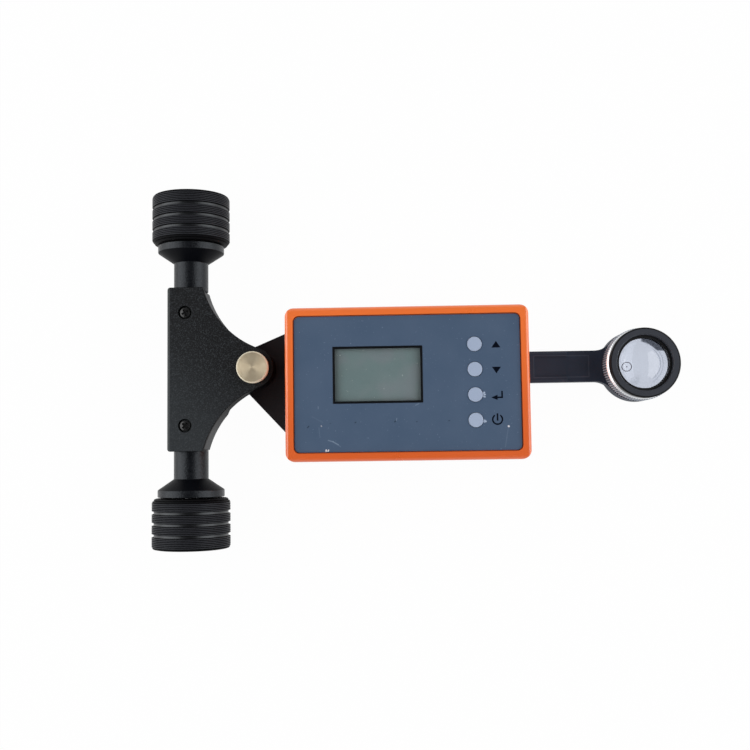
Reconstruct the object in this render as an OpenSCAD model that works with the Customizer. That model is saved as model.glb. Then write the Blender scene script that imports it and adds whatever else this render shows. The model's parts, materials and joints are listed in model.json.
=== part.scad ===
// Digital linear planimeter. X runs along the tracer arm, Y along the roller axle, Z up from the drawing.

/* [Rollers] */
// Distance across the outer faces of the two rollers
track_w = 160; // [150:1:190]
// Diameter of a roller over its ridges
roller_d = 35; // [33:0.5:38]
// Width of a roller
roller_w = 22.5; // [20:0.5:26]
// Bands of ridges round a roller
ridge_bands = 4; // [3:1:5]
// Ridges in one band
band_ridges = 5; // [3:1:6]
// Depth of the grooves between ridges
ridge_depth = 0.4; // [0.2:0.1:0.8]
// Width of the plain groove between two bands
band_gap = 1.3; // [0.8:0.1:1.6]
// Depth of the plain groove between two bands
band_gap_depth = 0.9; // [0.4:0.1:1.2]
// Bevel at both ends of a roller
roller_bevel = 1.8; // [0.8:0.1:2.2]
// Diameter of the recess in a roller's outer face
recess_d = 20; // [16:0.5:24]
// Depth of the recess in a roller's outer face
recess_depth = 7; // [5:0.5:9]
// Diameter of the washer under a roller's end screw
washer_d = 12; // [10:0.5:14]

/* [Axle] */
// Diameter of the roller shaft
shaft_d = 6; // [5:0.5:7]
// Diameter of the neck of an axle sleeve
neck_d = 15.5; // [14:0.5:17]
// Diameter of the lip at the roller end of a sleeve
lip_d = 29.8; // [27:0.2:31]
// Width of the lip
lip_w = 3.1; // [2:0.1:4.5]
// Length of the cone between neck and lip
cone_l = 4.9; // [3.5:0.1:6.5]
// Gap between a sleeve's lip and its roller
roller_gap = 0.6; // [0.4:0.1:1]
// Diameter of the sleeve's spigot inside the carriage frame
spigot_d = 12; // [11:0.5:12.5]
// Length of the spigot
spigot_l = 7; // [5:0.5:8]
// Outer diameter of an axle bearing
bearing_d = 19; // [16:0.5:21]
// Width of an axle bearing
bearing_w = 6; // [5:0.5:7]

/* [Carriage] */
// Distance from the axle to the pivot
axle_to_pivot = 29.9; // [28:0.1:36]
// How far the axle lies in front of the carriage's middle line
axle_offset = 0.6; // [0:0.1:1.2]
// Length of the carriage along the axle
carriage_l = 73.2; // [68:0.2:78]
// Width of the carriage across the axle
carriage_w = 15.7; // [15:0.1:17]
// Radius of the carriage nose round the pivot
nose_r = 9; // [8:0.5:10]
// Radius of the hollow sides between nose and ends
arc_r = 40.6; // [36:0.2:46]
// Radius of the carriage's back corners
carriage_corner_r = 1.2; // [0.6:0.1:2.5]
// Height of the frame above the necks of the sleeves
frame_above = 0.35; // [0.3:0.05:2]
// Depth of the frame below the axle's centre
frame_below = 8.5; // [7.5:0.1:9.5]
// Wall of the frame beside the shaft channel
frame_wall = 2.6; // [1.8:0.1:3]
// Floor of the shaft channel
channel_floor = 2.5; // [1.5:0.1:3]
// Thickness of the cover plate
cover_t = 3; // [2.4:0.1:4]
// How far the cover stands out over the frame
cover_overhang = 0.6; // [0.2:0.1:0.8]
// Distance of each cover screw from the pivot line
cover_screw_y = 25.2; // [23.5:0.1:27]
// Radius of the clear space round the pivot under the nose
swing_relief_r = 22; // [21:0.1:22.3]
// How much wider that space is at its underside
relief_flare = 2.6; // [0.5:0.1:3]

/* [Pivot] */
// Diameter of the pivot pin
pin_d = 6; // [5:0.5:7]
// Outer diameter of the pivot bush
bush_d = 9; // [8:0.5:10]
// Thickness of the thrust washer
thrust_t = 0.5; // [0.3:0.1:1]
// Diameter of the thrust washer
thrust_d = 14; // [11:0.5:16]
// Diameter of the clamping knob
knob_d = 14; // [12:0.2:17]
// Height of the clamping knob
knob_h = 3.8; // [3:0.1:6]
// Chamfer round the knob
knob_chamfer = 0.5; // [0.2:0.1:0.9]
// Gap between the knob and the cover when it is slack
knob_gap = 0.4; // [0.3:0.1:0.8]
// Thickness of metal over the end of the pin inside the knob
knob_roof = 1; // [0.8:0.1:1.6]
// Diameter of the pivot pin's head under the bracket
pin_head_d = 10; // [8:0.5:13]
// Thickness of the pivot pin's head
pin_head_t = 1.5; // [1:0.1:2.2]

/* [Case] */
// Distance from the pivot to the case
case_gap = 15; // [14:0.5:18]
// Length of the case along the arm
case_l = 106; // [103:0.5:112]
// Width of the case
case_w = 67; // [66:0.5:72]
// Sideways shift of the case from the pivot line
case_shift = -8.4; // [-9:0.1:-7]
// Height of the top of the case above the drawing
case_top = 38.5; // [36.5:0.5:42]
// Wall of the case
case_wall = 2.2; // [1.8:0.1:2.6]
// Radius of the upright corners of the case
case_corner_r = 4.5; // [4:0.1:6]
// Radius of the rounded top edge of the case
case_edge_r = 2; // [1.2:0.1:2.6]
// Height of the underside above the drawing
base_z = 2.5; // [2:0.1:3]
// Thickness of the base chassis
base_t = 3; // [2.8:0.1:3.4]
// Height of the locating rails on the chassis
rail_h = 2; // [1:0.1:4]
// Width of a locating rail
rail_w = 1.6; // [1:0.1:2]
// Distance of the case screws from the faces of the case
boss_inset = 4.8; // [4.6:0.1:5.4]
// Diameter of the screw bosses in the case
boss_d = 6.8; // [6:0.1:7.2]

/* [Face] */
// Width of the orange rim round the panel
rim_w = 3.65; // [3.4:0.05:4.6]
// Gap between the rim and the panel
panel_gap = 0.4; // [0.2:0.05:0.6]
// Depth of the panel below the rim
panel_recess = 0.7; // [0.4:0.1:1]
// Thickness of the panel
panel_t = 1.2; // [1:0.1:1.4]
// Thickness of the case under the panel
ceiling_t = 2.1; // [1.8:0.1:2.4]
// Radius of the panel's corners
panel_corner_r = 2.6; // [1.5:0.1:4]
// Length of the display frame
display_l = 38.8; // [34:0.2:42]
// Width of the display frame
display_w = 24.6; // [22:0.2:28]
// Display's place along the case, from the middle of the case
display_x = -12.7; // [-15:0.1:-8]
// Display's place across the case, from the middle of the case
display_y = 3.8; // [0:0.1:6]
// Width of the display frame's border
bezel_w = 0.9; // [0.6:0.1:1.4]
// Height of the display frame over the panel
bezel_proud = 0.1; // [0:0.05:0.3]
// Depth of the window below the top of the display frame
window_drop = 1; // [0.6:0.1:1.4]
// Thickness of the clear window
window_t = 0.6; // [0.4:0.1:1]

/* [Keys] */
// Diameter of a key
button_d = 6.3; // [5:0.1:7.2]
// Spacing of the keys
button_pitch = 10.95; // [10:0.05:12.5]
// Place of the keys along the case, from the middle of the case
button_x = 29.3; // [27:0.1:31]
// Height of the keys over the panel
button_proud = 0.35; // [0.1:0.05:0.8]
// Travel of a key
button_travel = 0.5; // [0.3:0.05:0.6]
// Width of the hidden flange that keeps a key in
button_flange = 1; // [0.7:0.1:1.4]
// Thickness of that flange
button_flange_t = 0.9; // [0.7:0.1:1]
// Diameter of the stem under a key
button_stem_d = 3.2; // [2.4:0.1:3.6]
// Side of a key switch
switch_side = 6.2; // [5.8:0.1:7.5]
// Height of a key switch
switch_h = 2.6; // [2.2:0.1:2.7]

/* [Electronics] */
// Height of the board's top below the ceiling of the case
board_drop = 4.5; // [4.3:0.1:5]
// Thickness of the main board
board_t = 1.6; // [1.2:0.1:2]
// Distance of the board's ends from the inside of the case
board_end_gap = 7; // [6.6:0.1:8]
// Distance of the board's sides from the inside of the case
board_side_gap = 1; // [0.5:0.1:2]
// Distance of the board's screws from its edges
board_screw_inset = 4; // [3.5:0.1:5]
// Diameter of the board posts
post_d = 5.6; // [5:0.1:6.4]
// Side of the processor chip
chip_side = 12; // [8:0.5:16]
// Thickness of the processor chip
chip_t = 1.6; // [1:0.1:2.4]
// Margin of the display's carrier round the display frame
carrier_margin = 3.4; // [2:0.1:5]
// Thickness of the display's carrier
carrier_t = 1.6; // [1.2:0.1:1.8]
// Width of the display's header strips
header_w = 2.5; // [2:0.1:4]

/* [Battery] */
// Diameter of a cell
cell_d = 10.5; // [10:0.1:10.8]
// Length of a cell
cell_l = 44.5; // [43:0.1:46]
// Number of cells side by side
cell_count = 2; // [1:1:2]
// Room at each end of the cells for a contact
contact_room = 1.75; // [1.2:0.05:2]
// Thickness of a contact plate
contact_t = 0.5; // [0.3:0.1:0.8]
// Wall of the battery box
box_wall = 1.5; // [1.2:0.1:2]
// Gap from the battery box to the tracer end of the case
box_end_gap = 6.8; // [6.2:0.1:8]
// Gap from the battery box to the near wall of the case
box_side_gap = 2.4; // [2:0.1:3]
// Thickness of the battery cover
hatch_t = 1.4; // [1:0.1:1.5]
// Lip of the chassis that the battery cover closes on
hatch_lip = 1.5; // [1:0.1:1.8]
// Length of the screw land on the battery cover
hatch_land = 8; // [7:0.1:9]

/* [Measuring wheel] */
// Diameter of the measuring wheel
wheel_d = 20; // [18:0.5:22]
// Thickness of the measuring wheel
wheel_t = 3; // [2:0.1:4]
// Width of the rim that touches the drawing
wheel_rim = 1.2; // [0.8:0.1:1.8]
// Depth of the bevel beside the rim
wheel_bevel = 1.5; // [0.8:0.1:2]
// Distance of the wheel from the pivot end of the case
wheel_x = 32; // [31.5:0.1:34]
// Diameter of the wheel's axle
wheel_axle_d = 3; // [2:0.1:3.4]
// Outer diameter of a wheel bearing
wheel_bearing_d = 6; // [5:0.1:7]
// Width of a wheel bearing
wheel_bearing_w = 2.5; // [2:0.1:3]
// Distance of the yoke's ears from the wheel
ear_gap = 8; // [7.6:0.1:9]
// Thickness of a yoke ear
ear_t = 3; // [3:0.1:4]
// Width of a yoke ear
ear_w = 10; // [9:0.5:12]
// Thickness of the yoke's foot and crossbar
yoke_t = 2; // [1.6:0.1:2.6]
// Width of the yoke's foot
yoke_w = 23; // [22.4:0.1:26]
// Clear space between the wheel and the yoke
wheel_gap = 0.8; // [0.6:0.1:1.2]
// Diameter of the encoder disc
disc_d = 15; // [13:0.5:16]
// Thickness of the encoder disc
disc_t = 0.6; // [0.4:0.1:1]
// Distance of the encoder disc from the wheel's middle
disc_x = 5.5; // [5:0.1:6]
// Length of the sensor along the axle
sensor_l = 5; // [4:0.1:5.4]
// Width of the sensor
sensor_w = 8; // [6:0.5:10]
// Width of the sensor's slot
sensor_slot = 1.8; // [1.4:0.1:2.4]
// How far the sensor reaches over the disc's rim
sensor_reach = 3; // [2:0.1:4]

/* [Bracket] */
// Radius of the bracket hub round the pivot
hub_r = 10.5; // [9:0.5:11]
// Thickness of the bracket
bracket_t = 7.9; // [7:0.1:8.6]
// Clearance from the bracket's tongue to the corner posts of the case
tongue_clear = 0.4; // [0.2:0.1:1.5]
// Extra room beside the tongue on the wide side of the case
tongue_set = 3.3; // [1:0.1:5]
// Length of the tongue in the case
tongue_l = 16; // [14:0.5:16.5]
// Thickness of the tongue
tongue_t = 4.5; // [3:0.1:6]
// Shoulder of the bracket beside the tongue
tongue_shoulder = 1.2; // [0.5:0.1:2]

/* [Tracer] */
// Distance from the pivot to the tracer mark
pivot_to_lens = 174; // [172:0.5:190]
// Width of the tracer arm
arm_w = 14.3; // [12:0.1:16]
// Height of the arm's underside above the drawing
arm_z = 3; // [2.6:0.1:3.4]
// Height of the arm's top above the drawing
arm_top = 9.5; // [9:0.1:11]
// Chamfer along the arm's top edges
arm_chamfer = 1.1; // [0.5:0.1:1.6]
// Distance from the case to the arm's recess
arm_recess_start = 5.5; // [4:0.5:9]
// Length of the arm's recess
arm_recess_l = 25; // [20:0.5:26]
// Width of the arm's recess
arm_recess_w = 9.6; // [7:0.1:10]
// Depth of the arm's recess
arm_recess_depth = 0.6; // [0.3:0.1:1]
// Radius of the fillets between arm and foot ring
arm_fillet_r = 9; // [4:0.5:12]
// Length of the arm's tongue in the case
arm_tongue_l = 16; // [13:0.5:18]
// Width of the arm's tongue
arm_tongue_w = 12; // [10:0.1:12.5]
// Radius of the foot ring
foot_r = 16.4; // [15.6:0.1:17]
// Height of the foot ring
foot_h = 8.6; // [8:0.1:9.2]
// Ledge of the foot ring under the glass
foot_ledge = 0.8; // [0.6:0.1:1.2]
// Radius of the marked glass disc
reticle_r = 12.4; // [11.5:0.1:12.6]
// Thickness of the marked glass disc
reticle_t = 1.2; // [0.8:0.1:2]
// Width of the ledge that holds the glass disc
reticle_seat = 1; // [0.6:0.1:1.4]

/* [Magnifier] */
// Radius of the focus ring over its knurl
focus_r = 16.4; // [16:0.1:17]
// Height of the knurled part
knurl_h = 8.1; // [6:0.1:9]
// Teeth of the knurl
knurl_teeth = 110; // [60:2:140]
// Depth of the knurl
knurl_depth = 0.4; // [0.2:0.05:0.5]
// Height of the smooth band over the knurl
band_h = 2.9; // [2:0.1:4]
// How far the smooth band is set in from the knurl
band_inset = 0.3; // [0.2:0.1:0.6]
// Wall of the collar that the focus ring turns on
collar_wall = 0.85; // [0.6:0.05:0.9]
// Height of the collar below the top of the focus ring
collar_drop = 1.4; // [1:0.1:3]
// Outer radius of the lens cell's tube
tube_r = 13.4; // [13.3:0.05:13.6]
// Radius of the lens cell's bezel
bezel_r = 15.7; // [15:0.1:16.4]
// Thickness of the lens cell's bezel
bezel_t = 3.3; // [2.5:0.1:4.5]
// Gap between the focus ring and the bezel
bezel_gap = 0.4; // [0.3:0.1:0.8]
// Radius of the opening over the lens
opening_r = 12.4; // [12:0.1:12.7]
// Ledge of the tube under the lens
lens_ledge = 0.8; // [0.5:0.1:1.2]
// Radius of the lens's curved face
lens_curve_r = 19; // [16:0.5:26]
// Thickness of the lens at its edge
lens_edge_t = 1.2; // [0.8:0.1:2]
// Height of the lens's flat face below the bezel's top
lens_drop = 8.2; // [8:0.1:10]
// Width of the retainer over the lens
retainer_w = 1.05; // [0.7:0.05:1.4]
// Depth of the retainer's top below the bezel's top
retainer_drop = 2.2; // [1.2:0.1:3]
// Length of the tube below the lens
tube_below_lens = 9; // [6:0.5:10]
// Chamfer on the bezel's edges
bezel_chamfer = 0.4; // [0.2:0.1:0.6]

/* [Screws and fits] */
// Diameter of the larger screws
screw_d = 3; // [2.5:0.1:3.2]
// Diameter of the larger screws' heads
screw_head_d = 4.9; // [4.4:0.1:5.4]
// Height of the larger screws' heads
screw_head_h = 1.5; // [1.2:0.1:1.8]
// Diameter of the smaller screws
small_screw_d = 2; // [1.6:0.1:2.4]
// Diameter of the smaller screws' heads
small_head_d = 3.8; // [3.4:0.1:4.4]
// Height of the smaller screws' heads
small_head_h = 1.2; // [0.9:0.1:1.4]
// Width of the cross recess in a screw head
cross_w = 0.7; // [0.5:0.1:0.9]
// Depth of the cross recess
cross_depth = 0.8; // [0.4:0.1:0.9]
// Gap in a fixed fit
fix_gap = 0.02; // [0.01:0.01:0.04]
// Gap in a running fit
run_gap = 0.05; // [0.03:0.01:0.08]
// Gap round a piece that drops into a pocket
seat_gap = 0.15; // [0.1:0.05:0.25]
// Gap round a screw in a clearance hole
screw_gap = 0.15; // [0.1:0.05:0.3]
// Gap round a key in its hole
key_gap = 0.15; // [0.1:0.05:0.25]

/* [Hidden] */
$fn = 96;
eps = 0.01;
far = 400;
blend_bite = 0.02;

// Shared heights
axle_z = roller_d / 2;
base_top = base_z + base_t;
hub_top = base_top + bracket_t;
nose_z = hub_top + 2 * run_gap + thrust_t;
frame_z0 = axle_z - frame_below;
frame_z1 = axle_z + neck_d / 2 + frame_above;
cover_top = frame_z1 + cover_t;
knob_z0 = cover_top + knob_gap;
knob_z1 = knob_z0 + knob_h;
panel_top = case_top - panel_recess;
pocket_z = panel_top - panel_t;
ceiling_z = pocket_z - ceiling_t;
board_top = ceiling_z - board_drop;
board_z = board_top - board_t;
focus_z0 = foot_h + 2 * seat_gap;
focus_z1 = focus_z0 + knurl_h + band_h;
bezel_z0 = focus_z1 + bezel_gap;
bezel_z1 = bezel_z0 + bezel_t;
lens_z = bezel_z1 - lens_drop;

// Shared places along the arm; the origin is the middle of the whole length
overall_l = roller_d / 2 + axle_to_pivot + pivot_to_lens + foot_r;
axle_x = roller_d / 2 - overall_l / 2;
pivot_x = axle_x + axle_to_pivot;
lens_x = pivot_x + pivot_to_lens;
case_x0 = pivot_x + case_gap;
case_x1 = case_x0 + case_l;
case_cx = (case_x0 + case_x1) / 2;
inner_l = case_l - 2 * case_wall;
inner_w = case_w - 2 * case_wall;

// Shared places along the axle
roller_y0 = track_w / 2 - roller_w;
lip_y1 = roller_y0 - roller_gap;
lip_y0 = lip_y1 - lip_w;
cone_y0 = lip_y0 - cone_l;
shoulder_y = carriage_l / 2 - cover_overhang + fix_gap;
spigot_y0 = shoulder_y - spigot_l;
shaft_end_y = track_w / 2 - recess_depth;
shaft_r = shaft_d / 2;
shaft_hole_r = shaft_r + 12 * run_gap;
washer_t = 1;

// Face of the case, from the middle of the case
button_ys = [for (i = [0 : 3]) (1.5 - i) * button_pitch];
window_l = display_l - 2 * bezel_w;
window_w = display_w - 2 * bezel_w;
window_margin = bezel_w / 3;
window_top = panel_top + bezel_proud - window_drop;
glass_top = window_top - window_t - fix_gap;
carrier_z = glass_top - window_t - ceiling_t - carrier_t;
flange_top = ceiling_z - seat_gap - eps * 10;
stem_z = flange_top - button_flange_t - button_flange - seat_gap;
board_l = inner_l - 2 * board_end_gap;
board_w = inner_w - 2 * board_side_gap;

// Battery, from the middle of the case
box_inner_l = cell_l + 2 * contact_room;
box_inner_w = cell_count * (cell_d + seat_gap) + seat_gap;
box_l = box_inner_l + 2 * box_wall;
box_w = box_inner_w + 2 * box_wall;
box_x = inner_l / 2 - box_end_gap - box_l / 2;
box_y = -inner_w / 2 + box_side_gap + box_w / 2;
box_h = cell_d + box_wall + 2 * seat_gap;
hatch_l = box_inner_l + 2 * hatch_lip + hatch_land;
hatch_w = box_inner_w + 2 * hatch_lip;
hatch_x = box_x - hatch_land / 2;
hatch_screw_x = hatch_x - hatch_l / 2 + hatch_land / 2;
hatch_ledge_z = base_z + hatch_t + seat_gap;
lug_r = 3;
lug_xs = [box_x - cell_l / 7, box_x + cell_l / 3.2];
lug_y = box_y + box_w / 2 + lug_r - box_wall;

// Measuring wheel, from its own middle on the pivot line
wheel_z = wheel_d / 2;
wheel_cx = case_x0 + wheel_x;
ear_x = ear_gap + wheel_t / 2;
yoke_l = 2 * (ear_x + ear_t);
bar_z = wheel_d + wheel_gap;
slot_x0 = -wheel_t / 2 - wheel_gap;
slot_x1 = disc_x + disc_t / 2 + wheel_gap;
slot_half_w = sqrt(pow(wheel_d / 2, 2) - pow(wheel_d / 2 - base_top - yoke_t, 2)) + wheel_gap;
yoke_screw_x = ear_x + ear_t / 2;
yoke_screw_y = yoke_w / 2 - small_head_d / 2 - seat_gap;

// Bracket, arm and their screws
tongue_w = case_w - 2 * (boss_inset + boss_d / 2 + tongue_clear) - tongue_set;
tongue_y = case_shift + tongue_set / 2;
tongue_screw_x = case_x0 + case_wall + (tongue_l - case_wall) / 2;
tongue_screw_ys = [for (i = [-1 : 1]) tongue_y + i * tongue_w / 2.7];
arm_screw_x = case_x1 - case_wall - (arm_tongue_l - case_wall) / 2;
arm_screw_ys = [for (s = [-1, 1]) s * arm_tongue_w / 4];
screw_bite = base_t - 1;

// Magnifier
collar_r0 = tube_r + run_gap;
collar_r1 = collar_r0 + collar_wall;
collar_z1 = focus_z1 - collar_drop;
focus_bore_r = collar_r1 + run_gap;
lens_r = opening_r - 2 * run_gap;
lens_sag = lens_curve_r - sqrt(pow(lens_curve_r, 2) - pow(lens_r, 2));
lens_apex_z = lens_z + lens_edge_t + lens_sag;
retainer_r = lens_r - retainer_w;
retainer_z0 = lens_apex_z - lens_curve_r + sqrt(pow(lens_curve_r, 2) - pow(retainer_r, 2)) + run_gap;

// Point where a line from p touches a circle of radius r round the origin
function tangent_point(p, r, side) =
    let (a = atan2(p.y, p.x), b = acos(r / norm(p)))
    r * [cos(a + side * b), sin(a + side * b)];

// Centre of the hollow side that passes through the corner and touches the nose
function arc_centre(corner) =
    let (d = norm(corner),
         reach = arc_r + nose_r - blend_bite,
         along = (reach * reach - arc_r * arc_r + d * d) / (2 * d),
         across = sqrt(reach * reach - along * along),
         u = corner / d)
    along * u + across * [u.y, -u.x];

// Outline of one ridge: groove, rise, flat top, fall
function ridge_points(y, pitch, r) = [
    [r - ridge_depth, y],
    [r, y + 0.25 * pitch],
    [r, y + 0.75 * pitch],
    [r - ridge_depth, y + pitch]
];

module rounded_rect(l, w, r) {
    square([l - 2 * r, w], center = true);
    square([l, w - 2 * r], center = true);
    for (x = [-1, 1], y = [-1, 1])
        translate([x * (l / 2 - r), y * (w / 2 - r)]) circle(r);
}

module plate(l, w, r, h) {
    linear_extrude(h) rounded_rect(l, w, r);
}

module ring(r_out, r_in, h) {
    difference() {
        cylinder(r = r_out, h = h);
        translate([0, 0, -eps]) cylinder(r = r_in, h = h + 2 * eps);
    }
}

// Side view of a block with a rounded top
module round_top(w, h, r) {
    translate([-w / 2, 0]) square([w, h - r]);
    translate([r - w / 2, 0]) square([w - 2 * r, h]);
    for (s = [-1, 1]) translate([s * (w / 2 - r), h - r]) circle(r);
}

// Block with rounded upright corners and a rounded top edge
module soft_block(l, w, h, corner_r, edge_r) {
    intersection() {
        plate(l, w, corner_r, h);
        rotate([90, 0, 90]) linear_extrude(2 * l, center = true) round_top(w, h, edge_r);
        rotate([90, 0, 0]) linear_extrude(2 * w, center = true) round_top(l, h, edge_r);
    }
}

// Screw whose head sits on z = 0, with its shank below
module pan_screw(d, head_d, head_h, length) {
    difference() {
        union() {
            cylinder(d = head_d, h = head_h);
            translate([0, 0, -length]) cylinder(d = d, h = length + eps);
        }
        for (a = [0, 90])
            rotate(a) translate([-head_d / 3, -cross_w / 2, head_h - cross_depth])
                cube([head_d / 1.5, cross_w, cross_depth + eps]);
    }
}

module large_screw(length) {
    pan_screw(screw_d, screw_head_d, screw_head_h, length);
}

module small_screw(length) {
    pan_screw(small_screw_d, small_head_d, small_head_h, length);
}

// Hole for a screw, below z = 0
module screw_hole(d, length, gap) {
    translate([0, 0, -length - seat_gap]) cylinder(d = d + 2 * gap, h = length + seat_gap + eps);
}

module at_case() {
    translate([case_cx, case_shift, 0]) children();
}

module at_case_corners() {
    at_case()
        for (x = [-1, 1], y = [-1, 1])
            translate([x * (case_l / 2 - boss_inset), y * (case_w / 2 - boss_inset), 0]) children();
}

module at_board_corners() {
    at_case()
        for (x = [-1, 1], y = [-1, 1])
            translate([x * (board_l / 2 - board_screw_inset), y * (board_w / 2 - board_screw_inset), 0])
                children();
}

module at_display() {
    at_case() translate([display_x, display_y, 0]) children();
}

module at_wheel() {
    translate([wheel_cx, 0, 0]) children();
}

module at_cover_screws() {
    for (s = [-1, 1]) translate([axle_x - axle_offset, s * cover_screw_y, 0]) children();
}

module at_tongue_screws() {
    for (y = tongue_screw_ys) translate([tongue_screw_x, y, 0]) children();
}

module at_arm_screws() {
    for (y = arm_screw_ys) translate([arm_screw_x, y, 0]) children();
}

module at_yoke_screws() {
    at_wheel()
        for (x = [-1, 1], y = [-1, 1]) translate([x * yoke_screw_x, y * yoke_screw_y, 0]) children();
}

module at_box_lugs() {
    at_case() for (x = lug_xs) translate([x, lug_y, 0]) children();
}

// Turned shape on the axle: radius and distance from the middle along +Y
module turned_on_axle() {
    translate([axle_x, 0, axle_z]) rotate([-90, 0, 0]) rotate_extrude() children();
}

// Slab in the plan of the carriage, drawn in by inset
module carriage_slab(inset, h) {
    half_l = carriage_l / 2 - inset;
    middle_x = -axle_to_pivot - axle_offset;
    back_x = middle_x - carriage_w / 2 + inset;
    corner = [middle_x + carriage_w / 2, carriage_l / 2];
    centre = arc_centre(corner);
    touch = centre / norm(centre) * (nose_r - inset);
    translate([pivot_x, 0, 0]) {
        linear_extrude(h) intersection() {
            difference() {
                polygon([
                    [back_x, half_l], [corner.x, half_l], touch,
                    [touch.x, -touch.y], [corner.x, -half_l], [back_x, -half_l]
                ]);
                translate(centre) circle(arc_r + inset, $fn = 180);
                translate([centre.x, -centre.y]) circle(arc_r + inset, $fn = 180);
            }
            translate([back_x + carriage_l, 0])
                rounded_rect(2 * carriage_l, 2 * half_l, carriage_corner_r);
        }
        cylinder(r = nose_r - inset, h = h);
    }
}

module carriage_frame() {
    channel_w = carriage_w - 2 * (cover_overhang + frame_wall);
    channel_l = 2 * (cover_screw_y - screw_head_d);
    color("#2b2e32")
    difference() {
        translate([0, 0, frame_z0]) carriage_slab(cover_overhang, frame_z1 - frame_z0);
        translate([pivot_x, 0, frame_z0 - eps])
            cylinder(r1 = swing_relief_r + relief_flare, r2 = swing_relief_r, h = nose_z - frame_z0 + eps);
        translate([pivot_x, 0, nose_z - eps]) cylinder(d = bush_d + 2 * fix_gap, h = far);
        translate([axle_x - channel_w / 2, -channel_l / 2, frame_z0 + channel_floor])
            cube([channel_w, channel_l, far]);
        translate([axle_x, 0, axle_z]) rotate([90, 0, 0]) {
            cylinder(r = shaft_hole_r, h = far, center = true);
            for (s = [0, 180])
                rotate([s, 0, 0]) translate([0, 0, spigot_y0 - fix_gap])
                    cylinder(d = spigot_d + 2 * fix_gap, h = far);
        }
        translate([0, 0, frame_z1]) at_cover_screws() screw_hole(screw_d, screw_bite, fix_gap);
    }
}

module carriage_cover() {
    color("#26292d")
    difference() {
        translate([0, 0, frame_z1]) carriage_slab(0, cover_t);
        translate([pivot_x, 0, frame_z1 - eps]) cylinder(d = bush_d, h = far);
        translate([0, 0, frame_z1 - eps]) at_cover_screws() {
            cylinder(d = screw_d + 2 * screw_gap, h = far);
            translate([0, 0, cover_t - screw_head_h]) cylinder(d = screw_head_d + 6 * screw_gap, h = far);
        }
    }
}

module cover_screws() {
    color("#1c1c1e")
    translate([0, 0, cover_top - screw_head_h]) at_cover_screws()
        large_screw(cover_t - screw_head_h + screw_bite);
}

module pivot_bush() {
    color("#b08d4f")
    translate([pivot_x, 0, nose_z]) ring(bush_d / 2, pin_d / 2 + run_gap, frame_z1 - nose_z);
}

module thrust_washer() {
    color("#d0d2d4")
    translate([pivot_x, 0, nose_z - thrust_t]) ring(thrust_d / 2, pin_d / 2 + run_gap, thrust_t);
}

module sleeve() {
    turned_on_axle() polygon([
        [shaft_hole_r, spigot_y0], [spigot_d / 2, spigot_y0], [spigot_d / 2, shoulder_y],
        [neck_d / 2, shoulder_y], [neck_d / 2, cone_y0], [lip_d / 2, lip_y0], [lip_d / 2, lip_y1],
        [bearing_d / 2 + fix_gap, lip_y1], [bearing_d / 2 + fix_gap, lip_y1 - bearing_w],
        [shaft_hole_r, lip_y1 - bearing_w]
    ]);
}

module left_sleeve() {
    color("#303338") sleeve();
}

module right_sleeve() {
    color("#303338") mirror([0, 1, 0]) sleeve();
}

module axle_bearings() {
    color("#c4c6c8")
    for (m = [0, 1])
        mirror([0, m, 0]) turned_on_axle()
            translate([shaft_r + run_gap, lip_y1 - bearing_w])
                square([(bearing_d - shaft_d) / 2 - run_gap, bearing_w]);
}

module roller_shaft() {
    color("#c8cacc")
    difference() {
        translate([axle_x, 0, axle_z]) rotate([90, 0, 0])
            cylinder(r = shaft_r, h = 2 * shaft_end_y, center = true);
        for (m = [0, 1])
            mirror([0, m, 0]) translate([axle_x, shaft_end_y, axle_z]) rotate([-90, 0, 0])
                screw_hole(screw_d, 2 * screw_d, fix_gap);
    }
}

module roller() {
    r = roller_d / 2;
    pitch = (roller_w - 2 * roller_bevel - (ridge_bands - 1) * band_gap) / (ridge_bands * band_ridges);
    band_step = band_ridges * pitch + band_gap;
    floor_y = roller_w - recess_depth;
    ridged = [for (b = [0 : ridge_bands - 1])
        let (start = roller_bevel + b * band_step, end = start + band_ridges * pitch)
        each concat(
            [for (k = [0 : band_ridges - 1]) each ridge_points(start + k * pitch, pitch, r)],
            b < ridge_bands - 1
                ? [[r - band_gap_depth, end], [r - band_gap_depth, end + band_gap]]
                : [])];
    bore_r = shaft_r + fix_gap;
    turned_on_axle() translate([0, roller_y0]) polygon(concat(
        [[bore_r, 0], [r - roller_bevel, 0]],
        ridged,
        [[r - roller_bevel, roller_w], [recess_d / 2, roller_w], [recess_d / 2, floor_y], [bore_r, floor_y]]));
}

module left_roller() {
    color("#1d1e20") roller();
}

module right_roller() {
    color("#1d1e20") mirror([0, 1, 0]) roller();
}

module roller_washers() {
    color("#c8cacc")
    for (m = [0, 1])
        mirror([0, m, 0]) translate([axle_x, shaft_end_y, axle_z]) rotate([-90, 0, 0])
            ring(washer_d / 2, screw_d / 2 + screw_gap, washer_t);
}

module roller_screws() {
    color("#8f9296")
    for (m = [0, 1])
        mirror([0, m, 0]) translate([axle_x, shaft_end_y + washer_t, axle_z]) rotate([-90, 0, 0])
            large_screw(2 * screw_d + washer_t);
}

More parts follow.
